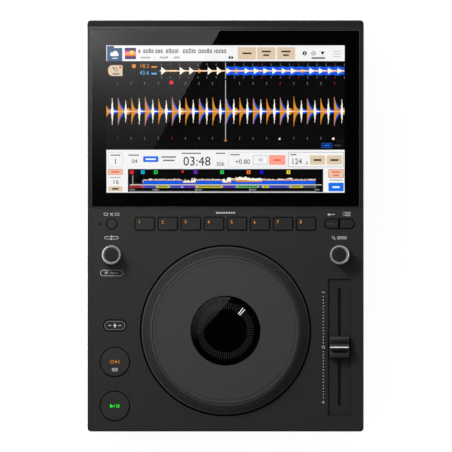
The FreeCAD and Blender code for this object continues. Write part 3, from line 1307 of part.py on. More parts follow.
def make_jog_slit_ring():
    """The slotted ring under the web that the sensor reads."""
    top, web_top, base_floor, bearing_top = jog_levels()
    high = web_top - JOG_WEB_THICKNESS
    low = high - JOG_SLIT_HEIGHT
    half = JOG_SLIT_THICKNESS / 2
    band = ring(JOG_SLIT_RADIUS + half, JOG_SLIT_RADIUS - half, low, high, 0, JOG_Y)
    half_slit = math.pi * JOG_SLIT_RADIUS / JOG_SLITS / 2
    near, far = JOG_SLIT_RADIUS - JOG_SLIT_THICKNESS, JOG_SLIT_RADIUS + JOG_SLIT_THICKNESS
    cutters = []
    for k in range(JOG_SLITS):
        cutter = box(near, -half_slit, low - OVER, far, half_slit, low + JOG_SLIT_HEIGHT / 2)
        cutter.rotate(Vector(0, 0, 0), Vector(0, 0, 1), 360.0 * k / JOG_SLITS)
        cutter.translate(Vector(0, JOG_Y, 0))
        cutters.append(cutter)
    return band.cut(cutters)


def make_jog_base():
    """The fixed dish that hangs from the deck and carries the post in the middle of the jog wheel."""
    top, web_top, base_floor, bearing_top = jog_levels()
    wall_in = JOG_OPENING_RADIUS + SEAT_GAP
    wall_out = wall_in + JOG_BASE_WALL
    flange_out = JOG_OPENING_RADIUS + JOG_BASE_WALL + JOG_BASE_FLANGE
    floor_top = base_floor + JOG_BASE_WALL
    shoulder_top = bearing_top - JOG_BEARING_HEIGHT - JOG_BEARING_FLANGE_THICKNESS
    post_top = top - JOG_WINDOW_THICKNESS - JOG_DISPLAY_THICKNESS
    low, high = DECK_UNDER_Z - JOG_BASE_WALL, DECK_UNDER_Z
    profile = [(JOG_POST_BORE, base_floor), (wall_out, base_floor), (wall_out, low),
               (flange_out, low), (flange_out, high), (wall_in, high), (wall_in, floor_top),
               (JOG_POST_RADIUS + JOG_SHOULDER, floor_top),
               (JOG_POST_RADIUS + JOG_SHOULDER, shoulder_top), (JOG_POST_RADIUS, shoulder_top),
               (JOG_POST_RADIUS, post_top), (JOG_POST_BORE, post_top)]
    dish = turned(profile, 0, JOG_Y)
    ears = [disc(JOG_BASE_EAR_RADIUS, low, high, x, y) for x, y in jog_base_screw_places()]
    holes = [small_hole(x, y, low - OVER, high + OVER) for x, y in jog_base_screw_places()]
    inside = disc(wall_in, low - OVER, high + OVER, 0, JOG_Y)
    return dish.fuse([ear.cut(inside) for ear in ears]).cut(holes).removeSplitter()


def make_jog_bearing():
    """The flanged plain bearing on the post; the carrier's sleeve turns round it and rests on its flange."""
    top, web_top, base_floor, bearing_top = jog_levels()
    inner = JOG_POST_RADIUS + SEAT_FIT
    outer = JOG_POST_RADIUS + JOG_BEARING_WALL
    seat = bearing_top - JOG_BEARING_HEIGHT
    low = seat - JOG_BEARING_FLANGE_THICKNESS
    flange = outer + JOG_BEARING_FLANGE
    return turned([(inner, low), (flange, low), (flange, seat), (outer, seat), (outer, bearing_top),
                   (inner, bearing_top)], 0, JOG_Y)


def make_jog_display():
    """The round display module on top of the post; it stays still while the wheel turns."""
    top, web_top, base_floor, bearing_top = jog_levels()
    high = top - JOG_WINDOW_THICKNESS
    return disc(JOG_WINDOW_RADIUS - JOG_DISPLAY_INSET, high - JOG_DISPLAY_THICKNESS, high, 0, JOG_Y)


def make_jog_window():
    """The clear disc over the round display, with a softened edge."""
    top = jog_levels()[0]
    window = disc(JOG_WINDOW_RADIUS, top - JOG_WINDOW_THICKNESS, top, 0, JOG_Y)
    return round_edges(window, JOG_WINDOW_THICKNESS / 3, edges_at(top))


def make_jog_sensor():
    """The forked light sensor that straddles the slotted ring."""
    top, web_top, base_floor, bearing_top = jog_levels()
    low = base_floor + JOG_BASE_WALL
    high = web_top - JOG_WEB_THICKNESS - JOG_SLIT_HEIGHT / 4
    ring_low = web_top - JOG_WEB_THICKNESS - JOG_SLIT_HEIGHT
    outer = SENSOR_SLOT / 2 + SENSOR_LEG
    body = box(JOG_SLIT_RADIUS - outer, JOG_Y - SENSOR_LENGTH / 2, low,
               JOG_SLIT_RADIUS + outer, JOG_Y + SENSOR_LENGTH / 2, high)
    slot = box(JOG_SLIT_RADIUS - SENSOR_SLOT / 2, JOG_Y - SENSOR_LENGTH, ring_low - SEAT_GAP,
               JOG_SLIT_RADIUS + SENSOR_SLOT / 2, JOG_Y + SENSOR_LENGTH, high + OVER)
    return body.cut(slot)


def tray_levels():
    """Top of the tray's floor, and top of the fader body that hangs under it."""
    return DECK_Z - TRAY_RECESS, DECK_UNDER_Z - TRAY_FLANGE_THICKNESS


def slot_length():
    return FADER_TRAVEL + LEVER_WIDTH + 2 * FADER_SLOT_END


def make_fader_tray():
    """The sunk panel with the fader's slot; its flange bears on the underside of the deck."""
    floor, under = tray_levels()
    raised = plate(TRAY_WIDTH - 2 * TRAY_GAP, TRAY_LENGTH - 2 * TRAY_GAP, PAD_CORNER - TRAY_GAP,
                   under, floor, COLUMN_X, TRAY_Y)
    flange = plate(TRAY_WIDTH + 2 * TRAY_FLANGE, TRAY_LENGTH + 2 * TRAY_FLANGE, PAD_CORNER, under,
                   DECK_UNDER_Z, COLUMN_X, TRAY_Y)
    tabs = plate(TRAY_TAB_WIDTH, TRAY_LENGTH + 2 * TRAY_END_FLANGE, PAD_CORNER, under,
                 DECK_UNDER_Z, COLUMN_X, TRAY_Y)
    half_width, half_length = FADER_SLOT_WIDTH / 2, slot_length() / 2
    slot = box(COLUMN_X - half_width, TRAY_Y - half_length, under - OVER,
               COLUMN_X + half_width, TRAY_Y + half_length, floor + OVER)
    holes = [small_hole(x, y, under - OVER, DECK_UNDER_Z + OVER) for x, y in tray_screw_places()]
    holes += [small_hole(x, y, under - OVER, floor - BLIND_FLOOR) for x, y in fader_screw_places()]
    return joined([raised, flange, tabs]).cut([slot] + holes)


def make_fader_body():
    """The slide potentiometer's steel body, slotted along its top."""
    floor, top = tray_levels()
    low = top - FADER_BODY_HEIGHT
    half_width = CARRIAGE_WIDTH / 2 + SEAT_GAP
    half_length = (FADER_TRAVEL + CARRIAGE_LENGTH) / 2 + SEAT_GAP
    wall = FADER_BODY_WALL
    body = box(COLUMN_X - half_width - wall, TRAY_Y - half_length - wall, low,
               COLUMN_X + half_width + wall, TRAY_Y + half_length + wall, top)
    hollow = box(COLUMN_X - half_width, TRAY_Y - half_length, low + wall,
                 COLUMN_X + half_width, TRAY_Y + half_length, top - wall)
    half_slot = FADER_SLOT_WIDTH / 2
    slot = box(COLUMN_X - half_slot, TRAY_Y - slot_length() / 2, top - wall - OVER,
               COLUMN_X + half_slot, TRAY_Y + slot_length() / 2, top + OVER)
    reach = half_length + wall + FADER_EAR_LENGTH
    ears = box(COLUMN_X - half_width - wall, TRAY_Y - reach, top - FADER_EAR_THICKNESS,
               COLUMN_X + half_width + wall, TRAY_Y + reach, top)
    holes = [small_hole(x, y, low, top + OVER) for x, y in fader_screw_places()]
    return body.fuse(ears).cut([hollow, slot] + holes).removeSplitter()


def make_fader_lever():
    """The carriage inside the body and the blade that carries the cap."""
    floor, top = tray_levels()
    low = top - FADER_BODY_HEIGHT + FADER_BODY_WALL + SEAT_GAP
    half_width, half_length = CARRIAGE_WIDTH / 2, CARRIAGE_LENGTH / 2
    carriage = box(COLUMN_X - half_width, TRAY_Y - half_length, low,
                   COLUMN_X + half_width, TRAY_Y + half_length, low + CARRIAGE_HEIGHT)
    half_blade = LEVER_THICKNESS / 2
    blade = box(COLUMN_X - half_blade, TRAY_Y - LEVER_WIDTH / 2, low, COLUMN_X + half_blade,
                TRAY_Y + LEVER_WIDTH / 2, floor + CAP_LIFT + LEVER_BITE)
    return joined([carriage, blade])


def make_fader_cap():
    """The fader's cap: two scoops, a ridge across the middle and a slot for the blade underneath."""
    low = tray_levels()[0] + CAP_LIFT
    high = low + CAP_HEIGHT
    half = CAP_LENGTH / 2
    crest = half - CAP_END_SLOPE
    ridge = CAP_RIDGE / 2
    scoop_y = (crest + ridge) / 2

    def point(y, z):
        return Vector(COLUMN_X - CAP_WIDTH / 2, TRAY_Y + y, z)

    ridge_foot = high - CAP_SCOOP / 3
    edges = [Part.makeLine(point(-half, low), point(half, low))]
    edges.append(Part.makeLine(point(half, low), point(crest, high)))
    back_scoop = Part.Arc(point(crest, high), point(scoop_y, high - CAP_SCOOP), point(ridge, ridge_foot))
    edges.append(back_scoop.toShape())
    crown = high + CAP_RIDGE_PROUD
    edges.append(Part.makeLine(point(ridge, ridge_foot), point(ridge, crown)))
    edges.append(Part.makeLine(point(ridge, crown), point(-ridge, crown)))
    edges.append(Part.makeLine(point(-ridge, crown), point(-ridge, ridge_foot)))
    front_scoop = Part.Arc(point(-ridge, ridge_foot), point(-scoop_y, high - CAP_SCOOP), point(-crest, high))
    edges.append(front_scoop.toShape())
    edges.append(Part.makeLine(point(-crest, high), point(-half, low)))
    cap = Part.Face(Part.Wire(edges)).extrude(Vector(CAP_WIDTH, 0, 0))
    half_blade = LEVER_THICKNESS / 2
    socket = box(COLUMN_X - half_blade, TRAY_Y - LEVER_WIDTH / 2, low - OVER,
                 COLUMN_X + half_blade, TRAY_Y + LEVER_WIDTH / 2, low + LEVER_BITE)
    return cap.cut(socket)


def make_feet():
    """Four rubber feet, each with a recess that hides its screw."""
    made = []
    hole = SCREW_RADIUS + SCREW_HOLE_GAP
    for x, y in foot_places():
        profile = [(hole, FOOT_HEIGHT), (FOOT_RADIUS, FOOT_HEIGHT), (FOOT_RADIUS, FOOT_TAPER),
                   (FOOT_RADIUS - FOOT_TAPER, 0), (FOOT_RECESS_RADIUS, 0),
                   (FOOT_RECESS_RADIUS, FOOT_RECESS_DEPTH), (hole, FOOT_RECESS_DEPTH)]
        made.append(turned(profile, x, y))
    return group(made)


def make_case_screws():
    """Every screw that goes in from under the case: six for its halves and four for the feet."""
    foot_length = FOOT_HEIGHT - FOOT_RECESS_DEPTH + SCREW_BITE
    made = [screw(x, y, FOOT_RECESS_DEPTH, foot_length) for x, y in foot_places()]
    seat = FLOOR_Z + COUNTERBORE_DEPTH
    made += [screw(x, y, seat, PARTING_Z - seat + SCREW_BITE) for x, y in post_places()]
    return group(made)


def make_inner_screws():
    """The screws inside: boards, socket bay, hood, jog dish, fader and display bracket."""
    down = BOARD_THICKNESS + BOARD_STANDOFF - SCREW_TIP_GAP
    made = [screw(x, y, BOARD_Z, down, rising=False) for x, y in base_board_holes()]
    bay_seat = BAY_LOW_Z + BAY_SHEET
    bay_length = bay_seat - FLOOR_TOP_Z - SCREW_TIP_GAP
    made += [screw(x, y, bay_seat, bay_length, rising=False) for x, y in bay_post_places()]
    seat = KEY_BOARD_Z - BOARD_THICKNESS
    made += [screw(x, y, seat, BOARD_THICKNESS + SCREW_BITE - SCREW_TIP_GAP) for x, y in deck_post_places()]
    shelf = hood_post_low_z() - HOOD_SHELF_THICKNESS
    hood_length = HOOD_SHELF_THICKNESS + SCREW_BITE - SCREW_TIP_GAP
    made += [screw(x, y, shelf, hood_length) for x, y in hood_post_places()]
    tip = DECK_Z - BLIND_FLOOR - TRAVEL_REST
    dish_seat = DECK_UNDER_Z - JOG_BASE_WALL
    made += [small_screw(x, y, dish_seat, tip - dish_seat) for x, y in jog_base_screw_places()]
    tray_floor, tray_under = tray_levels()
    made += [small_screw(x, y, tray_under, tip - tray_under) for x, y in tray_screw_places()]
    ear = tray_under - FADER_EAR_THICKNESS
    ear_tip = tray_floor - BLIND_FLOOR - TRAVEL_REST
    made += [small_screw(x, y, ear, ear_tip - ear) for x, y in fader_screw_places()]
    back = FRAME_PROUD + GLASS_THICKNESS + LIP_THICKNESS + BRACKET_THICKNESS
    for x, along in bracket_screw_places():
        head = tilted(disc(SMALL_HEAD_RADIUS, -back - SMALL_HEAD_HEIGHT, -back, x, along))
        made.append(joined([bracket_screw(x, along, SMALL_SCREW_RADIUS), head]))
    return group(made)


def make_all():
    """Every node's name and shape."""
    made = {
        "lower_case": make_lower_case(),
        "upper_case": make_upper_case(),
        "deck_panel": make_deck_panel(),
        "display_hood": make_display_hood(),
        "screen_glass": make_screen_glass(),
        "lcd_panel": make_lcd_panel(),
        "lcd_bracket": make_lcd_bracket(),
        "rear_panel": make_rear_panel(),
        "ac_inlet": make_ac_inlet(),
        "rca_jacks": make_rca_jacks(),
        "lan_jack": make_lan_jack(),
        "usb_link_port": make_usb_link_port(),
        "usb_media_port": make_usb_media_port(),
        "power_button": make_power_button(),
        "power_switch": make_power_switch(),
        "main_board": make_main_board(),
        "heat_sink": make_heat_sink(),
        "power_board": make_power_board(),
        "power_parts": make_power_parts(),
        "key_boards": make_key_boards(),
        "key_switches": make_key_switches(),
        "status_led": make_status_led(),
        "encoder_housings": make_encoder_housings(),
        "encoder_nuts": make_encoder_nuts(),
        "jog_base": make_jog_base(),
        "jog_bearing": make_jog_bearing(),
        "jog_display": make_jog_display(),
        "jog_window": make_jog_window(),
        "jog_sensor": make_jog_sensor(),
        "jog_rim": make_jog_rim(),
        "jog_carrier": make_jog_carrier(),
        "jog_slit_ring": make_jog_slit_ring(),
        "jog_top_plate": make_jog_top_plate(),
        "fader_tray": make_fader_tray(),
        "fader_body": make_fader_body(),
        "fader_lever": make_fader_lever(),
        "fader_cap": make_fader_cap(),
        "feet": make_feet(),
        "case_screws": make_case_screws(),
        "inner_screws": make_inner_screws(),
    }
    for name, (shape, centre, travel) in buttons().items():
        made[name] = make_button(shape, centre, travel)
    for name, (x, y) in knob_places().items():
        made[f"{name}_knob"] = make_knob(x, y)
        made[f"{name}_shaft"] = make_shaft(x, y)
        made[f"{name}_plunger"] = make_plunger(x, y)
    return made


os.makedirs("parts", exist_ok=True)
for node, shape in make_all().items():
    shape.exportStep(f"parts/{node}.step")
    print(node, "solids", len(shape.Solids), "volume", round(shape.Volume), "valid", shape.isValid())
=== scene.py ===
# %% [markdown]
# # A tabletop media player, dressed for its portrait
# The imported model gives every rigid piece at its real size. This lesson gives those pieces their finishes,
# adds what is too thin for a solid, such as prints and the picture on the display, and lights it all like a
# product photograph taken from straight above.

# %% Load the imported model
import bmesh
import bpy
import json
import math
import random
from mathutils import Matrix, Vector

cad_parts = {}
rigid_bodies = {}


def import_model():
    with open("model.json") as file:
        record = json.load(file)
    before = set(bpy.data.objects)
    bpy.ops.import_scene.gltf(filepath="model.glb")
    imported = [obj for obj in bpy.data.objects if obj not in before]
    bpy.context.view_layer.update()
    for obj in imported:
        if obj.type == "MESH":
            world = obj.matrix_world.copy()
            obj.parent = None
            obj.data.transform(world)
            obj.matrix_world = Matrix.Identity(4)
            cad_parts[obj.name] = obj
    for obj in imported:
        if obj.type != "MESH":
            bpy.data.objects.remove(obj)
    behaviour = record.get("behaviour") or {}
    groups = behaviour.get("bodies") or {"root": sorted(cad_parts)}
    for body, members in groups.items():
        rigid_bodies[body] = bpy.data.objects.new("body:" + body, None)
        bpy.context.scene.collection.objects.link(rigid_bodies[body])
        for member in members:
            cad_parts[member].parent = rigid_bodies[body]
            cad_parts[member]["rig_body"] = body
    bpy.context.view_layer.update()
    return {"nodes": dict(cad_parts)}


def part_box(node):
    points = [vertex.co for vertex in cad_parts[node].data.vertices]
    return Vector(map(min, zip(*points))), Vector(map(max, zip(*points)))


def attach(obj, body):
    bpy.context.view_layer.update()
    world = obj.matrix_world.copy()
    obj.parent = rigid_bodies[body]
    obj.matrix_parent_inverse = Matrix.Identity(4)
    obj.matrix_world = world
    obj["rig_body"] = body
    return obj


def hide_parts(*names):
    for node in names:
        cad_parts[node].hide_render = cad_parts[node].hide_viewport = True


for leftover in list(bpy.data.objects):
    bpy.data.objects.remove(leftover)
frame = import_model()
MM = 0.001
print("pieces from the model:", len(frame["nodes"]))

# %% [markdown]
# ## Where things are
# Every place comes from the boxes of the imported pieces, so a print stays on its deck and a mark in its
# window. The display leans back, so it gets axes of its own: across, up the slope, and out of the glass.

# %% Read the main places off the model
deck_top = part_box("deck_panel")[1].z
plate_low, plate_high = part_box("jog_top_plate")
jog_centre = (plate_low + plate_high) / 2
window_low, window_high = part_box("jog_window")
rim_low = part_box("jog_rim")[0]
DECK_DEPTH = 203.9 * MM
screen_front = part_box("upper_case")[0].y + DECK_DEPTH
SCREEN_TILT = math.radians(8.7)
FRAME_PROUD = 0.4 * MM
screen_pivot = Vector((0, screen_front, deck_top + FRAME_PROUD))
slope_axes = Matrix.Translation(screen_pivot) @ Matrix.Rotation(SCREEN_TILT, 4, "X")
print("deck top", round(deck_top / MM, 2), "jog centre", [round(v / MM, 2) for v in jog_centre])

# %% [markdown]
# ## One way to write a finish
# Node trees are easier to read as sums. `Amount` wraps a number's socket, so `rough + 0.1 * grain` adds the
# Math nodes for it. The `node` method of `Nodes` makes every node, here and in the sky: the type, then the
# settings with any stops of a ramp, then what goes into its sockets. `Finish` is a material with one shader.

# %% Write finishes as sums
class Amount:
    """A number that a node gives, for use in sums."""

    def __init__(self, nodes, socket):
        self.nodes, self.socket = nodes, socket

    def sum(self, operation, first, second):
        return self.nodes.node("ShaderNodeMath", {"operation": operation}, {0: first, 1: second})

    def __add__(self, other):
        return self.sum("ADD", self, other)

    def __sub__(self, other):
        return self.sum("SUBTRACT", self, other)

    def __rsub__(self, other):
        return self.sum("SUBTRACT", other, self)

    def __mul__(self, other):
        return self.sum("MULTIPLY", self, other)

    def __gt__(self, other):
        return self.sum("GREATER_THAN", self, other)

    __radd__ = __add__
    __rmul__ = __mul__


class Nodes:
    """A node tree, and the one way to add to it."""

    def __init__(self, tree):
        self.tree = tree

    def node(self, kind, settings={}, sockets={}, out=0):
        made = self.tree.nodes.new(kind)
        for name, value in settings.items():
            if name == "stops":
                for position, light in value[1:-1]:
                    made.color_ramp.elements.new(position)
                for stop, (position, light) in zip(made.color_ramp.elements, value):
                    stop.position, stop.color = position, (light, light, light, 1)
            else:
                setattr(made, name, value)
        for name, value in sockets.items():
            self.feed(made.inputs[name], value)
        return Amount(self, made.outputs[out])

    def feed(self, socket, value):
        if isinstance(value, Amount):
            self.tree.links.new(value.socket, socket)
        else:
            socket.default_value = value


class Finish(Nodes):
    """A material with one shader, built up node by node."""

    def __init__(self, name, **constants):
        self.material = bpy.data.materials.new(name)
        self.material.use_nodes = True
        super().__init__(self.material.node_tree)
        self.shader = self.tree.nodes["Principled BSDF"]
        self.give(**constants)
        self.place = self.node("ShaderNodeTexCoord", out="Object")

    def give(self, **values):
        """Set or feed the shader's sockets, and hand over the material."""
        for socket, value in values.items():
            self.feed(self.shader.inputs[socket.replace("_", " ")], value)
        return self.material

    def noise(self, size, where=None, detail=3.0, rough=0.5):
        sockets = {"Vector": where or self.place, "Scale": 1 / size, "Detail": detail, "Roughness": rough}
        return self.node("ShaderNodeTexNoise", {}, sockets)

    def blend(self, factor, first, second):
        return self.node("ShaderNodeMix", {"data_type": "RGBA"}, {0: factor, 6: first, 7: second}, out=2)

    def around(self, mix, colour, spread):
        """A colour that is darker where the mix is low and lighter where it is high."""
        return self.blend(mix, shade(colour, 1 - spread), shade(colour, 1 + spread))

    def stretched(self, scale):
        return self.node("ShaderNodeMapping", {}, {"Vector": self.place, "Scale": scale})

    def bump(self, height, depth):
        return self.node("ShaderNodeBump", {}, {"Height": height, "Distance": depth, "Strength": 1.0})


def shade(colour, factor):
    """A colour times a number, with its alpha."""
    return (colour[0] * factor, colour[1] * factor, colour[2] * factor, 1.0)


# %% [markdown]
# ## Moulded and painted finishes
# Nearly all of this player is charcoal plastic, but no two pieces share a texture: the case has a spark
# texture that you can feel, the deck a satin paint, and the keys are smoother still. A fine noise gives the
# grain that the light catches, and a broad faint one keeps large faces from looking printed.

# %% Mould a plastic
def moulded(name, colour, rough, grain, depth, mottle=0.12, **constants):
    """Plastic or paint with a fine grain: sizes in millimetres."""
    finish = Finish(name, **constants)
    fine = finish.noise(grain * MM, detail=2.0, rough=0.6)
    broad = finish.noise(35 * MM, detail=2.0)
    mix = 0.65 * fine + 0.35 * broad
    return finish.give(Base_Color=finish.around(mix, colour, mottle), Roughness=rough - 0.06 + 0.12 * mix,
                       Normal=finish.bump(fine, depth * MM))


CHARCOAL = (0.0203, 0.0204, 0.0208)
finishes = {
    "case_plastic": moulded("case_spark_texture", shade(CHARCOAL, 1.05), 0.42, 0.45, 0.030),
    "deck_paint": moulded("deck_satin_paint", shade(CHARCOAL, 1.0), 0.50, 0.30, 0.012, 0.16),
    "pad_rubber": moulded("pad_soft_rubber", shade(CHARCOAL, 0.90), 0.44, 0.35, 0.015),
    "key_plastic": moulded("key_satin_plastic", shade(CHARCOAL, 0.95), 0.38, 0.35, 0.008),
    "transport_plastic": moulded("transport_satin_plastic", shade(CHARCOAL, 1.25), 0.40, 0.40, 0.008),
    # the rim's plastic is darker than the charcoal, a painted shade for the deep shade of its knurl
    "rim_plastic": moulded("rim_plastic_darkened_as_knurl_shade", shade(CHARCOAL, 0.62), 0.40, 0.25, 0.006),
    "tray_plastic": moulded("tray_satin_plastic", shade(CHARCOAL, 0.9), 0.50, 0.40, 0.012),
    "cap_plastic": moulded("fader_cap_plastic", shade(CHARCOAL, 1.25), 0.30, 0.50, 0.005),
    "knob_plastic": moulded("knob_cap_plastic", shade(CHARCOAL, 0.66), 0.50, 0.30, 0.010),
    "socket_plastic": moulded("socket_black_nylon", (0.012, 0.012, 0.013), 0.45, 0.30, 0.010),
    "switch_plastic": moulded("switch_black_plastic", (0.015, 0.015, 0.016), 0.40, 0.30, 0.006),
    "component_plastic": moulded("component_epoxy", (0.03, 0.028, 0.02), 0.45, 0.60, 0.020, 0.25),
    "dish_plastic": moulded("jog_dish_plastic", (0.010, 0.010, 0.011), 0.55, 0.50, 0.020),
    "bearing_plastic": moulded("bearing_acetal", (0.55, 0.54, 0.50), 0.35, 0.50, 0.006, 0.04),
    "foot_rubber": moulded("foot_rubber", (0.012, 0.012, 0.012), 0.75, 0.60, 0.050, 0.20),
    "display_black": moulded("display_polariser", (0.0008, 0.0008, 0.0009), 0.40, 0.80, 0.001,
                             Specular_IOR_Level=0.0),
    "light_pipe": moulded("light_pipe_smoke", (0.003, 0.003, 0.003), 0.30, 0.50, 0.004),
}
print("moulded finishes:", len(finishes))

# %% [markdown]
# The display's hood is polished round the glass, and its rear ledge is left with the rougher grain of the mould
# and painted darker, a painted shade for a ledge that slopes away from the light. One object has both, so a mask
# that is 1 behind the ledge's edge picks between them.

# %% Give the hood its two textures, with painted shade on the ledge
def hood_finish():
    finish = Finish("hood_polished_and_shaded_ledge")
    ledge_edge = 181.6 * MM
    ledge = finish.node("ShaderNodeSeparateXYZ", {}, {0: finish.place}, out="Y") > ledge_edge
    fine = finish.noise(0.4 * MM, detail=2.0, rough=0.6)
    broad = finish.noise(40 * MM, detail=2.0)
    mix = 0.6 * fine + 0.4 * broad
    polished = finish.blend(mix, shade(CHARCOAL, 0.95), shade(CHARCOAL, 1.20))
    # painted shade: the ledge is the same charcoal at about 0.6 of its brightness
    shaded_ledge = finish.blend(mix, shade(CHARCOAL, 0.55), shade(CHARCOAL, 0.68))
    return finish.give(Base_Color=finish.blend(ledge, polished, shaded_ledge),
                       Roughness=0.17 + 0.05 * mix + 0.16 * ledge,
                       Normal=finish.bump(fine * (0.25 + 0.75 * ledge), 0.010 * MM))


finishes["hood_plastic"] = hood_finish()

# %% [markdown]
# The rim's knurl gets its own finish, with painted light and shade: the ridges are painted lighter than the
# charcoal, and the colour darkens to black at the bottom of each groove, a painted shade for the little light
# that reaches there. The piece carries an attribute, 1 at the bottom of a groove, and the colour follows it.

# %% Paint shade into the grooves of a knurl, and highlight onto its ridges
def knurled_finish():
    finish = Finish("rim_knurl_painted_shade_and_highlight")
    groove = finish.node("ShaderNodeAttribute", {"attribute_name": "groove"}, out="Fac")
    grain = finish.noise(0.25 * MM)
    depth = 0.9 * groove + 0.1 * grain
    # painted light and shade: ridges 1.45 times the charcoal, groove bottoms black
    return finish.give(Base_Color=finish.blend(depth, shade(CHARCOAL, 1.45), shade(CHARCOAL, 0.0)),
                       Roughness=0.36 + 0.10 * depth)


# %% [markdown]
# ## Metals
# The jog wheel's plate is aluminium that was faced on a lathe, then anodised dark, so its grain runs in
# circles. A noise that is read by distance from the axis draws those rings. Sheet steel and cut screws have
# a straight or a random grain instead.

# %% Turn, roll and plate metals
def ringed(name, colour, rough, centre, pitch, depth, metal):
    """Metal faced on a lathe: rings about an upright axis, pitch in millimetres."""
    finish = Finish(name, Metallic=metal)
    about = finish.node("ShaderNodeMapping", {}, {"Vector": finish.place,
                                                  "Location": (-centre.x, -centre.y, 0)})
    flat = finish.node("ShaderNodeVectorMath", {"operation": "MULTIPLY"}, {0: about, 1: (1, 1, 0)})
    out = finish.node("ShaderNodeVectorMath", {"operation": "LENGTH"}, {0: flat}, out="Value")
    along = finish.node("ShaderNodeCombineXYZ", {}, {"X": out})
    rings = finish.noise(pitch * MM, along, detail=3.0, rough=0.7)
    grain = finish.noise(0.3 * MM, detail=2.0)
    cloud = finish.noise(22 * MM, detail=2.0)
    mix = 0.45 * rings + 0.35 * grain + 0.20 * cloud
    return finish.give(Base_Color=finish.around(mix, colour, 0.14), Roughness=rough - 0.05 + 0.10 * mix,
                       Normal=finish.bump(0.5 * rings + 0.5 * grain, depth * MM))


def rolled(name, colour, rough, run=(1, 1, 1), mottle=0.10):
    """Metal whose grain is drawn out along one direction."""
    finish = Finish(name, Metallic=1.0)
    streak = finish.noise(0.4 * MM, finish.stretched(run), detail=4.0, rough=0.6)
    cloud = finish.noise(15 * MM, detail=2.0)
    mix = 0.7 * streak + 0.3 * cloud
    return finish.give(Base_Color=finish.around(mix, colour, mottle), Roughness=rough - 0.08 + 0.16 * mix,
                       Normal=finish.bump(streak, 0.004 * MM))


finishes.update({
    "jog_aluminium": ringed("jog_plate_anodised", (0.056, 0.056, 0.0565), 0.72, jog_centre, 0.45, 0.004,
                            metal=0.3),
    "sink_aluminium": rolled("heat_sink_extruded", (0.70, 0.71, 0.72), 0.38, (1, 0.05, 1)),
    "zinc_steel": rolled("pan_zinc_plate", (0.52, 0.53, 0.55), 0.34, (0.08, 1, 1), mottle=0.18),
    "socket_steel": rolled("socket_shell_nickel", (0.58, 0.57, 0.55), 0.26, (0.1, 1, 1)),
    "jack_brass": rolled("jack_nickel_on_brass", (0.66, 0.61, 0.50), 0.22, (1, 0.1, 1)),
    "bush_brass": rolled("bush_brass", (0.60, 0.46, 0.22), 0.32),
    "nut_steel": rolled("nut_steel", (0.50, 0.50, 0.51), 0.30),
    "shaft_steel": rolled("shaft_steel", (0.56, 0.56, 0.58), 0.24, (1, 1, 0.1)),
    "screw_steel": rolled("screw_black_zinc", (0.06, 0.06, 0.065), 0.36, mottle=0.25),
    "bay_paint": moulded("bay_black_powder_coat", (0.013, 0.013, 0.014), 0.58, 0.60, 0.05, 0.2),
})

# %% [markdown]
# ## Board and glass
# A circuit board is green solder mask over copper: a brick pattern stands in for its traces. The two windows
# are clear, so what lies behind them shows, and only the shader's own transmission makes them glass.

# %% Make the board and the glass
def board_finish():
    finish = Finish("circuit_board_mask", Coat_Weight=0.5, Coat_Roughness=0.2)
    sockets = {"Vector": finish.place, "Scale": 1 / (6 * MM), "Mortar Size": 0.05, "Mortar Smooth": 0.2,
               "Color1": (0, 0, 0, 1), "Color2": (0.25, 0.25, 0.25, 1), "Mortar": (1, 1, 1, 1)}
    traces = finish.node("ShaderNodeTexBrick", {}, sockets)
    return finish.give(Base_Color=finish.blend(traces, (0.004, 0.045, 0.022, 1), (0.02, 0.13, 0.06, 1)),
                       Roughness=0.35 + 0.2 * finish.noise(2 * MM))


def clear_finish(name):
    """Hard coated glass: its polish varies a little where it has been wiped."""
    finish = Finish(name, Transmission_Weight=1.0, IOR=1.5)
    smear = finish.noise(30 * MM, finish.stretched((1, 0.3, 1)))
    return finish.give(Base_Color=finish.blend(smear, (0.99, 0.99, 0.99, 1), (1, 1, 1, 1)),
                       Roughness=0.003 * smear)


finishes["circuit_board"] = board_finish()
finishes["cover_glass"] = clear_finish("display_cover_glass")
finishes["window_glass"] = clear_finish("jog_window_acrylic")

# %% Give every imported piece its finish
for name, node in frame["nodes"].items():
    for held in node.material_slots:
        held.material = finishes[held.material.name.split(".")[0]]
print("pieces finished:", len(frame["nodes"]), "finishes:", len(finishes))

# %% [markdown]
# ## How a new piece is made
# Anything added here rides on one body of the model, so it moves with its joint. Every shape is built in
# place in its mesh, and the object itself stays at the origin. Closed turned shapes get their faces turned
# outwards after doubled points are merged.

# %% Make a piece from a bmesh
def add_piece(name, shape, materials, body, smooth=None):
    mesh = bpy.data.meshes.new(name)
    shape.to_mesh(mesh)
    shape.free()
    for material in materials:
        mesh.materials.append(material)
    made = bpy.data.objects.new(name, mesh)
    bpy.context.scene.collection.objects.link(made)
    if smooth:
        mesh.shade_smooth()
        mesh.set_sharp_from_angle(angle=math.radians(smooth))
    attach(made, body)
    return made


def turn(profile, centre, steps, closed=True):
    """Spin an outline of (radius, height) points, in millimetres, about an upright axis."""
    shape = bmesh.new()
    points = [shape.verts.new((centre.x + radius * MM, centre.y, z * MM)) for radius, z in profile]
    edges = [shape.edges.new(pair) for pair in zip(points, points[1:])]
    if closed:
        edges.append(shape.edges.new((points[-1], points[0])))
    bmesh.ops.spin(shape, geom=points + edges, cent=(centre.x, centre.y, 0), axis=(0, 0, 1),
                   angle=math.tau, steps=steps, use_merge=True)
    bmesh.ops.remove_doubles(shape, verts=shape.verts, dist=0.001 * MM)
    bmesh.ops.recalc_face_normals(shape, faces=shape.faces)
    return shape
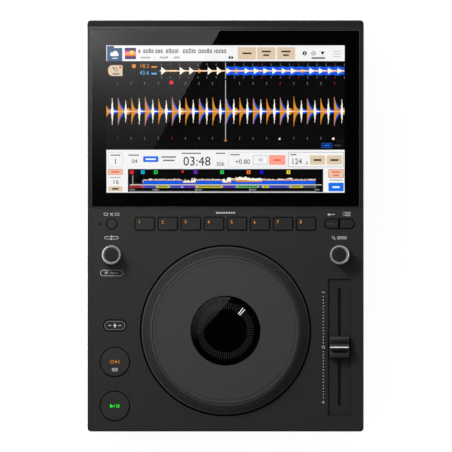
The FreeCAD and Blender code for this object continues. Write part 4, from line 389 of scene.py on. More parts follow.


# %% [markdown]
# ## The knurled rim of the jog wheel
# The rim is one moulded ring with a broad bevel, and on the bevel a fine diamond knurl gives the fingertips a
# grip. A knurl is two sets of slanting grooves that cross. The ring is spun with many steps, and then each point
# of the bevel sinks by the depth of the nearest groove, so highlights come from real shape, and the finish adds
# painted light and shade on top.

# %% Spin the rim and cut its knurl
KNURLS = 180
RIM_STEPS = 7 * KNURLS
KNURL_ROWS = 4.15
KNURL_DEPTH = 0.60
bevel_out, bevel_in = (76.5, 65.3), (67.9, 72.44)
rows = 24
bevel = [(bevel_out[0] + (bevel_in[0] - bevel_out[0]) * i / rows,
          bevel_out[1] + (bevel_in[1] - bevel_out[1]) * i / rows) for i in range(rows + 1)]
rim_skirt = rim_low.z / MM
profile = [(76.5, rim_skirt)] + bevel + [(67.3, 73.0), (66.9, 73.0), (66.9, 70.8), (68.6, 70.8), (68.6, 69.2),
                                         (70.9, 63.5), (70.9, 62.5), (73.7, 62.5), (73.7, rim_skirt)]
rim = turn(profile, jog_centre, RIM_STEPS)
groove_shade_mark = rim.verts.layers.float.new("groove")
slope = Vector((bevel_out[0] - bevel_in[0], bevel_in[1] - bevel_out[1])).normalized()
inward = Vector((-slope.y, -slope.x))
for vert in rim.verts:
    flat = Vector((vert.co.x - jog_centre.x, vert.co.y - jog_centre.y))
    radius, height = flat.length / MM, vert.co.z / MM
    up = (height - bevel_out[1]) / (bevel_in[1] - bevel_out[1])
    on_bevel = abs(bevel_out[0] + (bevel_in[0] - bevel_out[0]) * up - radius) < 0.02
    if on_bevel and 0.04 < up < 0.97:
        angle = math.atan2(flat.y, flat.x)
        first = KNURLS * angle + math.tau * KNURL_ROWS * up
        second = KNURLS * angle - math.tau * KNURL_ROWS * up
        groove = max(0, math.cos(first)) ** 2 + max(0, math.cos(second)) ** 2
        depth = min(1, groove) * min(1, 8 * (up - 0.03), 8 * (0.98 - up))
        # this attribute carries the painted shade and highlight of the knurl's finish
        vert[groove_shade_mark] = depth
        sink = KNURL_DEPTH * depth
        vert.co += Vector((flat.x, flat.y, 0)).normalized() * inward.x * sink * MM
        vert.co.z += inward.y * sink * MM
rim_piece = add_piece("jog_rim_knurled", rim, [knurled_finish()], "jog_wheel", smooth=40)
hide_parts("jog_rim")
print("rim triangles:", 2 * len(rim_piece.data.polygons))

# %% [markdown]
# ## Inks and lamps
# A print is a film of paint, and a sign or a part of a display gives its own light. The round display in the
# middle of the jog wheel has a ring of dim ticks and a bright pair that follows the music. They are thin
# plates on its face, inside the thickness of the window.

# %% Make the inks and the lamps
def ink(name, colour, rough=0.45, mottle=0.06, **constants):
    """Screen print: a thin film of paint with the faintest grain."""
    return moulded(name, colour, rough, 0.25, 0.002, mottle, **constants)


def lamp(name, colour, strength):
    """A lit part of a display: the light varies a little over its fine dots."""
    finish = Finish(name, Base_Color=(0.004, 0.004, 0.004, 1), Roughness=0.5, Specular_IOR_Level=0.0,
                    Emission_Strength=strength)
    return finish.give(Emission_Color=finish.around(finish.noise(0.25 * MM, detail=1.0), colour, 0.04))


def srgb(red, green, blue):
    """A colour picked as 0 to 255 on screen, as the light it stands for."""
    def light(value):
        value /= 255
        return value / 12.92 if value <= 0.04045 else ((value + 0.055) / 1.055) ** 2.4
    return (light(red), light(green), light(blue), 1.0)


inks = {
    "legend_grey": ink("legend_grey_print", (0.52, 0.52, 0.53)),
    "legend_mid": ink("legend_mid_print", (0.20, 0.20, 0.205)),
    "legend_dim": ink("legend_dim_print", (0.085, 0.085, 0.087)),
    # painted shadow: black ink for the shade in the gaps round the keys
    "recess_black": ink("recess_shadow_black", (0.0012, 0.0012, 0.0012), 0.6, Specular_IOR_Level=0.0),
    "scale_grey": ink("fader_scale_print", (0.46, 0.46, 0.47)),
    "legend_orange": ink("pad_number_orange_print", (0.88, 0.29, 0.016)),
    "legend_white": ink("white_print", (0.80, 0.80, 0.80)),
    "legend_green": lamp("play_green_lamp", srgb(30, 250, 38), 1.08),
    "legend_cue": lamp("cue_orange_lamp", srgb(222, 140, 44), 0.66),
    "tick_ground": ink("jog_display_black", (0.0008, 0.0008, 0.0009), Specular_IOR_Level=0.0),
    "tick_grey": lamp("jog_tick_dim", srgb(92, 92, 94), 0.24),
    "tick_white": lamp("jog_tick_lit", srgb(250, 250, 250), 0.95),
}
print("inks and lamps:", len(inks))

# %% [markdown]
# ## A small drawing kit
# Prints, and later the picture on the display, are drawn with plates a few hundredths of a millimetre thick:
# a real film of ink has a thickness too, and stacked plates never flicker. `Drawing` keeps one bmesh for each
# ink and knows how its own page lies in space, so the same few methods draw on the deck, a pad or the screen.

# %% Draw with thin plates
FILM = 0.02


class Drawing:
    """Shapes on one page, its thickness in millimetres, with one bmesh for each ink."""

    def __init__(self, name, page, body, slot, film=FILM, upside=1):
        self.name, self.page, self.body, self.slot = name, page, body, slot
        self.film, self.upside = film, upside
        self.unit = (page.to_3x3() @ Vector((1, 0, 0))).length
        self.shapes = {}

    def place(self, x, y, layer=0, turned=0.0):
        spot = Vector((x, y, (0.2 + 1.2 * layer) * self.film))
        return self.page @ Matrix.Translation(spot) @ Matrix.Rotation(turned, 4, "Z")

    def sheet(self, colour):
        return self.shapes.setdefault(colour, bmesh.new())

    def bar(self, colour, x0, y0, x1, y1, layer=0, turned=0.0):
        where = self.place((x0 + x1) / 2, (y0 + y1) / 2, layer, turned)
        size = Matrix.Diagonal((abs(x1 - x0), abs(y1 - y0), self.film, 1))
        raised = Matrix.Translation((0, 0, 0.5))
        bmesh.ops.create_cube(self.sheet(colour), size=1, matrix=where @ size @ raised)

    def thicken(self, colour, faces):
        """Give flat faces the thickness of the film, and keep them as its underside."""
        sheet = self.sheet(colour)
        up = self.page.to_3x3() @ Vector((0, 0, self.film))
        made = bmesh.ops.extrude_face_region(sheet, geom=faces, use_keep_orig=True)["geom"]
        verts = [item for item in made if isinstance(item, bmesh.types.BMVert)]
        bmesh.ops.translate(sheet, verts=verts, vec=up)

    def tile(self, colour, x0, y0, x1, y1, corner, layer=0, line=None, steps=4):
        """A plate with round corners, or with line its outline of that width."""
        sheet = self.sheet(colour)
        where = self.place((x0 + x1) / 2, (y0 + y1) / 2, layer)
        size = Matrix.Diagonal((abs(x1 - x0) / 2, abs(y1 - y0) / 2, 1, 1))
        grid = bmesh.ops.create_grid(sheet, x_segments=1, y_segments=1, size=1, matrix=where @ size)
        face = grid["verts"][0].link_faces[0]
        if corner:
            made = bmesh.ops.bevel(sheet, geom=list(face.verts), offset=corner * self.unit, segments=steps,
                                   offset_type="OFFSET", affect="VERTICES", profile=0.5, material=-1)
            face = max(set(made["faces"]) | {f for v in made["verts"] for f in v.link_faces},
                       key=lambda item: item.calc_area())
        self.cut_out(colour, face, line)

    def cut_out(self, colour, face, line):
        """Thicken a face, or only a line along its edge."""
        faces = [face]
        if line:
            sheet = self.sheet(colour)
            faces = bmesh.ops.inset_region(sheet, faces=[face], thickness=line * self.unit,
                                           use_boundary=True, use_even_offset=True)["faces"]
            bmesh.ops.delete(sheet, geom=[face], context="FACES_ONLY")
        self.thicken(colour, faces)

    def word(self, colour, start, end, level, height, layer=0):
        """A line of blocks the size of letters."""
        sizes = random.Random(round(1000 * start + level))
        x = start
        while x < end - 0.2 * height:
            wide = height * sizes.choice((0.14, 0.34, 0.40, 0.46))
            tall = height * sizes.choice((0.34, 0.34, 0.5))
            self.tile(colour, x, level - tall, min(x + wide, end), level + 0.34 * height, 0.1 * height, layer,
                      line=0.13 * height if wide > 0.3 * height else None, steps=2)
            x += wide + 0.14 * height

    def disc(self, colour, x, y, radius, layer=0, line=None, sides=28, turned=0.0, squash=1.0):
        """A round plate, or with few sides a triangle or square, or with line a ring."""
        where = self.place(x, y, layer, turned) @ Matrix.Diagonal((1, squash, 1, 1))
        made = bmesh.ops.create_circle(self.sheet(colour), cap_ends=True, segments=sides, radius=radius,
                                       matrix=where)["verts"]
        self.cut_out(colour, made[0].link_faces[0], line)

    def figures(self, colour, text, x, y, size, layer=0, wide=1.0):
        """Plain figures, made a mesh before their place is applied."""
        curve = bpy.data.curves.new("figures", "FONT")
        curve.body, curve.size, curve.resolution_u = text, size, 3
        curve.align_x, curve.align_y = "CENTER", "CENTER"
        curve.extrude = self.film / 2
        word = bpy.data.objects.new("figures", curve)
        mesh = bpy.data.meshes.new_from_object(word)
        where = self.place(x, y, layer) @ Matrix.Translation((0, 0, self.film / 2))
        mesh.transform(where @ Matrix.Diagonal((wide, self.upside, 1, 1)))
        self.sheet(colour).from_mesh(mesh)
        bpy.data.objects.remove(word)
        bpy.data.curves.remove(curve)
        bpy.data.meshes.remove(mesh)

    def finish(self, materials):
        """Make one piece for each ink that was used."""
        made = []
        for colour, shape in self.shapes.items():
            bmesh.ops.recalc_face_normals(shape, faces=shape.faces)
            made.append(add_piece(self.name + "_" + colour, shape, [materials[colour]], self.body))
        print(self.name, "drawn with", len(made), "inks,", sum(len(m.data.polygons) for m in made), "faces")
        return made


def flat_page(x, y, z):
    """A level page in millimetres with its origin at a place of the model."""
    return Matrix.Translation((x * MM, y * MM, z)) @ Matrix.Diagonal((MM, MM, MM, 1))


# %% Draw the ring of ticks
tick_page = flat_page(jog_centre.x / MM, jog_centre.y / MM, window_low.z + 0.02 * MM)
ticks = Drawing("jog_display_ticks", tick_page, "case", "display_black")
ticks.disc("tick_ground", 0, 0, 31.3, sides=120)
for count in range(72):
    clockwise = math.radians(2.5 + 5 * count)
    lit = count in (7, 8)
    inner, outer, wide = (19.0, 26.2, 0.72) if lit else (19.8, 26.0, 0.55)
    middle, half = (inner + outer) / 2, (outer - inner) / 2
    x, y = middle * math.sin(clockwise), middle * math.cos(clockwise)
    ticks.bar("tick_white" if lit else "tick_grey", x - wide / 2, y - half, x + wide / 2, y + half,
              layer=1, turned=-clockwise)
ticks.finish(inks)

# %% [markdown]
# ## The clear window of the jog wheel
# The window is a disc turned from clear acrylic and polished flat on both faces, with a small edge broken
# round its top. It is spun again here from five points, so that both faces are truly flat and the marks and
# the lights show in it without a wobble.

# %% Turn the window
window_edge = (window_high.x - window_low.x) / (2 * MM)
window_floor, window_face = window_low.z / MM, window_high.z / MM
window = turn([(0, window_floor), (window_edge, window_floor), (window_edge, window_face - 0.4),
               (window_edge - 0.4, window_face), (0, window_face)], jog_centre, 128)
window_piece = add_piece("jog_window_turned", window, [finishes["window_glass"]],
                         frame["nodes"]["jog_window"]["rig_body"])
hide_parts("jog_window")
print("window faces:", len(window_piece.data.polygons), "radius", round(window_edge, 2))

# %% [markdown]
# ## Knobs
# Each knob is a dark cap pressed into a satin metal ring, whose top falls away outwards and inwards, and its
# side is fluted for grip. One spin makes the whole outline. Then every other pair of points on the side is
# drawn in, which makes the flutes, and the faces of the ring take a material of their own.

# %% Turn the two knobs
FLUTES = 48
knob_ring = ringed("knob_ring_satin_metal", (0.60, 0.60, 0.61), 0.31, Vector((0, 0, 0)), 0.5, 0.002,
                   metal=0.9)
knob_profile = [(8.75, 65.3), (8.9, 65.5), (8.9, 75.9), (8.86, 76.5), (8.70, 77.1), (8.42, 77.65),
                (8.05, 78.08), (7.65, 78.27), (7.38, 78.3), (7.15, 78.18), (6.9, 77.92), (6.55, 77.5),
                (6.42, 77.25), (6.32, 77.25), (6.22, 77.5), (6.0, 77.6), (2.8, 77.56), (0, 77.55), (0, 76.0),
                (3.0, 76.0), (3.0, 68.0), (4.6, 68.0), (4.6, 74.3), (7.2, 74.3), (7.2, 65.3)]
for side, name in ((-1, "beat_knob"), (1, "browse_knob")):
    low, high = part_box(name)
    centre = (low + high) / 2
    knob = turn(knob_profile, centre, 4 * FLUTES)
    for vert in knob.verts:
        out = Vector((vert.co.x - centre.x, vert.co.y - centre.y, 0))
        if out.length > 8.85 * MM and 65.4 * MM < vert.co.z < 75.8 * MM:
            step = round(math.atan2(out.y, out.x) / math.tau * 4 * FLUTES) % 4
            vert.co -= out.normalized() * (0.28 * MM if step in (0, 1) else 0)
    for face in knob.faces:
        middle = face.calc_center_median()
        radius = (Vector((middle.x - centre.x, middle.y - centre.y)).length) / MM
        face.material_index = 0 if radius > 7.3 or (radius > 6.36 and middle.z > 77 * MM) else 1
    piece = add_piece(name + "_fluted", knob, [knob_ring, finishes["knob_plastic"]],
                      frame["nodes"][name]["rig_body"], smooth=35)
    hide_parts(name)
print("knob faces:", len(piece.data.polygons))

# %% [markdown]
# ## The fader cap
# The cap is moulded with a ridge across its middle and a hollow on each side of it, so that a finger or thumb
# finds it without looking. Its outline from the side is drawn once, pulled out to the cap's width, and its
# two long edges are rounded by a bevel.

# %% Pull out the fader cap
cap_low, cap_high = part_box("fader_cap")
cap_centre = (cap_low + cap_high) / (2 * MM)
half = [(0.0, 74.2), (1.25, 74.2), (1.65, 74.05), (1.85, 73.7), (2.0, 70.2), (2.35, 69.2), (2.9, 68.9),
        (3.6, 69.2), (4.6, 69.95), (5.8, 70.7), (7.0, 71.1), (7.9, 71.0), (8.7, 70.5), (9.35, 69.6),
        (9.8, 68.2), (10.0, 66.4), (10.0, 63.2)]
outline = half + [(-y, z) for y, z in reversed(half[1:])]
cap = bmesh.new()
points = [cap.verts.new((cap_low.x, (cap_centre.y + y) * MM, z * MM)) for y, z in outline]
end = cap.faces.new(points)
pulled = bmesh.ops.extrude_face_region(cap, geom=[end], use_keep_orig=True)["geom"]
moved = [item for item in pulled if isinstance(item, bmesh.types.BMVert)]
bmesh.ops.translate(cap, verts=moved, vec=(cap_high.x - cap_low.x, 0, 0))
ends = [face for face in cap.faces if len(face.verts) > 4]
rims = [edge for edge in {edge for face in ends for edge in face.edges}
        if min(vert.co.z for vert in edge.verts) > 66 * MM]
bmesh.ops.bevel(cap, geom=rims, offset=0.45 * MM, offset_type="OFFSET", segments=3, affect="EDGES",
                profile=0.5, material=-1)
bmesh.ops.recalc_face_normals(cap, faces=cap.faces)
cap_piece = add_piece("fader_cap_moulded", cap, [finishes["cap_plastic"]], "pitch_fader",
                      smooth=32)
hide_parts("fader_cap")
print("cap faces:", len(cap_piece.data.polygons))

# %% [markdown]
# ## Prints on the deck
# The deck is screen printed in one light grey, with a plain pictogram at each control: a cross for clearing,
# a list for looking through tracks, an arrow for going back. A photograph's pixel is 0.912 mm here, so a
# place in it becomes a place on the deck.

# %% Print the deck
PIXEL = 0.912


def seen(px, py):
    """Millimetres from the middle of the player for a pixel of the photograph."""
    return (px - 225.5) * PIXEL, (226.0 - py) * PIXEL


deck = Drawing("deck_print", flat_page(0, 0, deck_top), "case", "deck_paint")
LEGEND = "legend_grey"

x, y = seen(111.5, 214.2)
for lean in (-1, 1):
    deck.bar(LEGEND, x - 1.7, y - 0.25, x + 1.7, y + 0.25, turned=lean * math.pi / 4)
    deck.tile(LEGEND, x + 5.1 * lean - 1.9, y - 1.2, x + 5.1 * lean + 1.9, y + 1.2, 0.5, line=0.35)

x, y = seen(225.5, 212.8)
for count in range(8):
    deck.tile(LEGEND, x - 8.6 + 2.25 * count, y - 0.75, x - 7.2 + 2.25 * count, y + 0.75, 0.2)

x, y = seen(331.7, 214.5)
deck.disc(LEGEND, x - 2.6, y, 1.6, sides=3, turned=math.pi / 2)
deck.bar(LEGEND, x - 2.0, y - 0.3, x + 3.0, y + 0.3)

x, y = seen(346.8, 214.0)
for row in (-1.5, 0, 1.5):
    deck.bar(LEGEND, x - 2.2, y + row - 0.25, x + 3.4, y + row + 0.25)
    deck.disc(LEGEND, x - 3.4, y + row, 0.38, sides=10)

x, y = seen(111.5, 237.8)
deck.tile(LEGEND, x - 6.4, y - 1.3, x + 6.4, y + 1.3, 1.25, line=0.35)
for side in (-1, 1):
    deck.disc(LEGEND, x + 0.2 * side, y + 1.15 * side, 1.2, sides=3, layer=1, turned=-side * math.pi / 2)

x, y = seen(339.0, 237.8)
deck.disc(LEGEND, x - 5.2, y + 0.2, 1.25, line=0.4, sides=20)
deck.bar(LEGEND, x - 4.7, y - 1.25, x - 3.1, y - 0.75, layer=1, turned=-math.pi / 4)
for row in (-1.0, 0, 1.0):
    deck.bar(LEGEND, x - 1.6, y + row - 0.22, x + 7.0, y + row + 0.22)

deck.tile(LEGEND, -114.2, -45.65, -93.4, -40.15, 2.7, line=0.38, steps=8)
deck.disc(LEGEND, -109.0, -42.9, 1.15, line=0.36, sides=20)
deck.disc(LEGEND, -107.7, -42.3, 0.8, sides=3, layer=1, turned=-math.pi / 2)
deck.bar(LEGEND, -105.2, -43.15, -97.6, -42.65)
deck.finish(inks)

# %% [markdown]
# ## The painted shadow round every key
# A key goes down through a hole with a fine gap round it, and the shade in that gap is the dark line that draws
# each key. A black ring on the edge of each hole is painted shadow that stands in for it.

# %% Paint shadow round the holes
SHADOW_RING = 0.34
UNDER_DECK = 0.8
holes = Drawing("hole_lining", flat_page(0, 0, deck_top), "case", "deck_paint")


def line_hole(first, last, corner=None):
    """A black ring of painted shadow round the hole of one key, or of two in one hole. Keys are wider under the
    deck.
    """
    inset = UNDER_DECK - SHADOW_RING
    low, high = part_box(first)[0] / MM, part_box(last)[1] / MM
    reach = (high.y - low.y) / 2 - inset
    holes.tile("recess_black", low.x + inset, low.y + inset, high.x - inset, high.y - inset,
               (corner or reach) * 0.999, line=SHADOW_RING, steps=10)


for count in range(1, 9):
    line_hole(f"pad_{count}", f"pad_{count}", corner=2.29)
for key in ("shift_button", "delete_button", "cue_button", "play_button"):
    line_hole(key, key)
line_hole("back_button", "tag_button")
rib, pair_low, pair_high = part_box("back_button")[1].x / MM, *(point.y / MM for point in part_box("tag_button"))
# painted shadow on the rib between the two keys
holes.bar("recess_black", rib, pair_low + UNDER_DECK, rib + 0.6, pair_high - UNDER_DECK)
led_low, led_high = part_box("status_led")
led = (led_low + led_high) / (2 * MM)
# painted shadow round the recess of the status lamp
holes.disc("recess_black", led.x, led.y, 1.4, line=0.38)
holes.finish(inks)

# %% [markdown]
# ## The tempo scale
# Beside the fader runs a scale of short lines: minus at the back, a ring in the middle and plus at the
# front. The lines are evenly spaced, with the end ones longer.

# %% Print the tempo scale
scale = Drawing("fader_scale", flat_page(89.2, -110.6, deck_top), "case", "deck_paint")
scale.disc("scale_grey", 0, 0, 1.45, line=0.5, sides=24)
for side in (-1, 1):
    for count in range(16):
        y = side * (3.96 + 2.8 * count)
        long = 0.56 if count in (0, 1, 2) else 0.42
        scale.bar("scale_grey", -0.44, y - long, 0.44, y + long)
    scale.bar("scale_grey", -1.25, side * 50.1 - 0.32, 1.25, side * 50.1 + 0.32)
scale.bar("scale_grey", -0.32, -51.35, 0.32, -48.85, layer=1)
scale.finish(inks)

# %% [markdown]
# ## Numbers on the pads
# Each of the eight pads carries a small orange number at its upper left. A number rides on its own pad, so it
# goes down with it.

# %% Number the pads
def on_key(name, key, slot, film=FILM):
    """A drawing with its page in the middle of the top of a moving piece."""
    low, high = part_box(key)
    middle = (low + high) / (2 * MM)
    page = flat_page(middle.x, middle.y, high.z)
    return Drawing(name, page, frame["nodes"][key]["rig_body"], slot, film=film)


for count in range(1, 9):
    label = on_key(f"pad_{count}_number", f"pad_{count}", "pad_rubber")
    label.figures("legend_orange", str(count), -4.9, 1.5, 3.9)
    label.finish(inks)

# %% [markdown]
# ## Signs on the transport keys
# The two round keys have lit signs: a cue mark in orange and the usual play and pause in green. Small keys
# have a light outline. All these ride on their keys.

# %% Sign the keys
cue = on_key("cue_sign", "cue_button", "transport_plastic")
cue.disc("legend_cue", -2.7, 0.2, 1.75, line=0.7, sides=28)
cue.disc("legend_cue", 1.0, 0.2, 1.9, sides=3, turned=-math.pi / 2)
cue.bar("legend_cue", 3.4, -1.5, 4.2, 1.9)
cue.tile("legend_white", -2.5, -8.3, 2.5, -5.6, 0.7, line=0.32)
for x in (-1.3, 0.7):
    cue.bar("legend_white", x, -7.4, x + 0.6, -6.5)
cue.finish(inks)

play = on_key("play_sign", "play_button", "transport_plastic")
play.disc("legend_green", -3.3, 0.0, 1.95, sides=3, turned=-math.pi / 2)
for x in (1.5, 3.3):
    play.bar("legend_green", x, -1.5, x + 0.8, 1.5)
play.bar("legend_green", -0.9, -1.7, -0.4, 1.7, turned=-0.45)
play.finish(inks)

shift = on_key("shift_sign", "shift_button", "key_plastic")
shift.tile("legend_mid", -9.3, -3.9, 9.3, 3.9, 3.6, line=0.42, steps=10)
shift.disc("legend_grey", 0, 0.4, 1.8, sides=3)
shift.bar("legend_grey", -0.6, -1.9, 0.6, 0.0, layer=1)
for x in (-5.8, 3.2):
    shift.bar("legend_grey", x, -0.3, x + 2.6, 0.3)
shift.finish(inks)

back = on_key("back_sign", "back_button", "key_plastic")
back.bar("legend_dim", -2.0, -0.25, 2.0, 0.25)
back.finish(inks)

# %% [markdown]
# ## The fader cap's line
# A white line is printed along the middle of the cap's ridge, and it shows the tempo at a glance.

# %% Draw the cap's line
line = on_key("fader_cap_line", "fader_cap", "cap_plastic", film=0.03)
half_cap = (cap_high.x - cap_low.x) / (2 * MM) - 0.3
line.bar("legend_white", -half_cap, -0.58, half_cap, 0.58)
line.finish(inks)

# %% [markdown]
# ## The picture on the display
# The touch screen is on, so its picture is the brightest thing on the player. It is drawn on a page that lies
# on the back of the cover glass and leans with it, with thin lit plates in layers. The layout is a generic
# one for such a player: a header, two waveforms, a row of readings and an overview of the track. Every value,
# icon and tile is made up here.

# %% Lay out the display page
DOT_X, DOT_Y = 217.0 / 238, 135.6 / 147
GLASS_MIDDLE = 82.2
PICTURE_MIDDLE = 81.75
GLASS_BACK = -2.2
screen_page = slope_axes @ Matrix.Translation((-225.5 * DOT_X * MM, (PICTURE_MIDDLE + 119 * DOT_Y) * MM,
                                               (GLASS_BACK + 0.01) * MM))
screen_page = screen_page @ Matrix.Diagonal((DOT_X * MM, -DOT_Y * MM, MM, 1))
PALETTE = {
    "white": (238, 238, 238), "ground": (4, 4, 5), "grey": (120, 120, 122), "dark": (52, 52, 55),
    "pale": (176, 176, 178), "black": (2, 2, 2), "tan": (219, 196, 168), "blue": (20, 110, 230),
    "wave": (16, 88, 225), "orange": (214, 138, 34), "cream": (250, 243, 228), "salmon": (255, 160, 140),
    "coral": (240, 92, 72), "red": (228, 36, 44), "slate": (48, 88, 128), "cyan": (24, 170, 214),
    "green": (40, 200, 70), "purple": (104, 40, 196), "amber": (240, 120, 30), "navy": (20, 24, 208),
    "yellow": (232, 216, 60), "sky": (96, 178, 236), "rose": (232, 90, 150), "dusk": (110, 52, 120),
    "night": (36, 40, 92), "tape_red": (200, 52, 52), "tape_blue": (92, 104, 224),
    "tape_green": (110, 196, 116), "tape_violet": (110, 70, 205), "tape_yellow": (214, 205, 70),
    "tape_grey": (104, 116, 130), "tick_red": (150, 34, 38),
}
DISPLAY_LIGHT = 1.11
lamps = {name: lamp("display_" + name, srgb(*colour), DISPLAY_LIGHT) for name, colour in PALETTE.items()}
screen = Drawing("display", screen_page, "case", "display_black", upside=-1)
screen.bar("white", 106.5, 45.5, 344.5, 61.2)
screen.bar("ground", 106.5, 61.2, 344.5, 149.7)
screen.bar("white", 106.5, 149.7, 344.5, 192.5)
print("display dots are", round(DOT_X, 3), "by", round(DOT_Y, 3), "mm")

# %% Draw the header
def tiles(colour, layer, corner, *boxes, line=None):
    """Boxes with round corners: buttons, frames, or the dashes that stand for words."""
    for box in boxes:
        screen.tile(colour, *box, corner, layer=layer, line=line)


def bars(colour, layer, *boxes):
    for box in boxes:
        screen.bar(colour, *box, layer=layer)


bars("slate", 1, (107.2, 46.0, 122.4, 61.2))
screen.disc("white", 112.2, 54.4, 2.0, layer=2, sides=20)
screen.disc("white", 115.4, 53.4, 2.6, layer=3, sides=20)
tiles("white", 4, 1.3, (110.6, 53.4, 118.8, 56.2))
bars("white", 2, (114.2, 46.0, 122.4, 48.0), (112.5, 58.0, 117.5, 58.8), (304.2, 52.2, 305.0, 54.8))
bars("dark", 2, (108.2, 47.2, 109.2, 49.2))
bands = ["night", "dusk", "rose", "salmon", "amber", "dusk", "night"]
for count, band in enumerate(bands):
    bars(band, 1, (124.9, 48.0 + count * 1.6, 136.1, 49.6 + count * 1.6))
screen.disc("yellow", 131.8, 52.6, 2.2, layer=2, sides=20)
for start, end in ((138.6, 141.0), (143.5, 153.5), (155.5, 163.0), (166.0, 180.0), (183.0, 196.0),
                   (198.5, 212.0), (214.5, 227.6)):
    screen.word("black", start, end, 51.4, 5.2, layer=1)
for start, end in ((140.8, 150.8), (160.0, 168.0), (174.0, 180.0)):
    screen.word("dark", start, end, 57.7, 2.5, layer=1)
screen.disc("black", 230.9, 57.6, 2.6, layer=1, sides=20, squash=0.5)
screen.disc("white", 230.9, 57.6, 0.7, layer=2, sides=12)
bars("pale", 1, (154.4, 56.6, 155.0, 58.6), *((333.2, row, 340.2, row + 0.65) for row in (50.9, 53.6, 56.3)))
for start, end, lines in ((237.8, 256.0, 1), (257.0, 275.4, 2), (276.8, 295.0, 2)):
    tiles("tan", 1, 0.9, (start, 47.3, end, 59.5))
    middle = (start + end) / 2
    for row in range(lines):
        level = 53.4 + (row - (lines - 1) / 2) * 3.6
        half = 4.6 - 1.6 * row
        tiles("dark", 2, 0.5, (middle - half, level - 0.8, middle + half, level + 0.8))
screen.disc("black", 304.6, 53.4, 2.1, layer=1, sides=20)
screen.disc("grey", 313.5, 53.4, 2.2, layer=1, line=0.6, sides=24)
screen.disc("grey", 313.5, 53.4, 0.8, layer=1, sides=12)
screen.disc("black", 322.5, 52.8, 2.3, layer=1, sides=3)
tiles("grey", 1, 0.5, (311.4, 57.2, 325.0, 59.0))

# %% [markdown]
# ## Waveforms
# A waveform is a picture of the sound: tall where it is loud. The bass is blue, the middle orange and the
# treble cream. Each is drawn as a row of narrow bars whose heights follow the beat, with seeded randomness,
# so that it comes out the same each time.

# %% Draw the waveforms
chance = random.Random(7)
BEAT = 13.5
WIDE = 0.5


def spike(distance, rise, fall):
    """Height from 0 to 1 of a beat that starts at 0 and fades."""
    return max(0.0, 1 + distance / rise) if distance < 0 else math.exp(-distance / fall)


def peak(distance, reach):
    """Height from 0 to 1 of a straight-sided peak."""
    return max(0.0, 1 - abs(distance) / reach)


def wave(colour, x, level, height, layer):
    bars(colour, layer, (x, level - height, x + WIDE, level + height))


strong = [0.80 + 0.20 * chance.random() for _ in range(40)]
for count in range(int(238 / WIDE)):
    x = 106.5 + count * WIDE
    skirt = [0.95 * spike(x - (118.2 + BEAT * k), 0.3, 3.6) for k in range(-2, 18, 2)]
    hat = [strong[k + 20] * peak(x - (111.8 + BEAT * k) - 0.3, 1.6) ** 1.5 for k in range(18)]
    tail = [0.10 * spike(x - (112.4 + BEAT * k), 0.6, 1.6) for k in range(18)]
    blob = [0.20 * peak(x - (128.0 + 4 * BEAT * k), 3.2) for k in range(6)]
    edge = [strong[k] * spike(x - (118.0 + BEAT * k), 0.4, 2.0) for k in range(-1, 18)]
    hum = 0.06 + 0.11 * abs(math.sin((x - 118.0) / BEAT * math.pi))
    wave("wave", x, 111.3, 14.2 * min(1, max(skirt + [hum + 0.05 * chance.random()])), 1)
    wave("orange", x, 111.3, 0.5 + 14.9 * max(edge + blob), 2)
    wave("cream", x, 111.3, 0.12 + 14.6 * max(hat + tail), 3)
for count in range(18):
    x = 117.6 + 13.55 * count
    if abs(x - 225.5) > 2:
        for row in (82.1, 136.9):
            bars("grey" if count % 4 else "tick_red", 1, (x - 0.3, row, x + 0.3, row + 2.6))
tiles("red", 2, 0.9, (169.6, 80.8, 173.2, 84.2))
screen.disc("cream", 279.6, 138.8, 1.5, layer=2, sides=3, turned=math.pi)
screen.disc("cream", 333.2, 138.6, 1.2, layer=2, sides=14)

# %% Draw the zoomed-out waveform, its marks and the playhead
for count in range(int(184.5 / WIDE)):
    x = 159.8 + count * WIDE
    late = x > 226
    pulse = max(spike(x - (161.4 + 9.25 * k), 0.6, 3.0) for k in range(21))
    if late:
        wave("wave", x, 70.9, 3.5 + 0.9 * abs(math.sin(x * 0.34)) + 0.25 * chance.random(), 1)
    wave("orange", x, 70.9, 0.55 + (2.6 if late else 2.2) * abs(math.sin(x * 0.42)) * pulse, 2)
    arrow = max(peak(x - (161.2 + 9.25 * k), 4.4) if x >= 161.2 + 9.25 * k else 0
                for k in range(21) if k not in (1, 4, 8, 15))
    wave("cream", x, 70.9, 0.4 + (2.6 if late else 3.6) * arrow, 3)
for count in range(21):
    x = 161.3 + 9.15 * count
    for row in (63.6, 76.4):
        bars("tick_red" if count % 4 == 3 else "grey", 1, (x - 0.28, row, x + 0.28, row + 2.0))
bars("pale", 5, (225.2, 62.6, 225.9, 78.8), (225.2, 80.2, 225.9, 140.6))
bars("orange", 6, (224.0, 140.0, 227.1, 141.0))
screen.tile("tan", 108.2, 65.2, 122.6, 76.0, 4.6, layer=1, steps=8)
bars("tan", 2, (116.0, 65.2, 122.6, 76.0))
screen.disc("dark", 116.3, 69.6, 1.9, layer=3, line=0.5, sides=20)
screen.disc("dark", 113.6, 68.2, 1.3, layer=4, sides=3, turned=math.pi / 2)
tiles("grey", 3, 0.5, (112.5, 73.2, 119.5, 74.6))
screen.disc("red", 120.4, 67.2, 1.15, layer=4, sides=16)
bars("orange", 1, (132.2, 64.3, 135.8, 68.0))
for colour, text, level in (("orange", "18.2", 66.2), ("sky", "43.6", 72.9)):
    screen.figures(colour, text, 144.4, level, 5.6, layer=1)
    tiles(colour, 1, 0.5, (151.4, level, 157.0, level + 1.6))
tiles("blue", 1, 0.6, (321.6, 143.0, 331.9, 147.6), line=0.35)
tiles("blue", 1, 0.5, (323.4, 144.6, 330.2, 146.0))
tiles("dark", 1, 0.5, (333.9, 144.5, 341.0, 146.2))

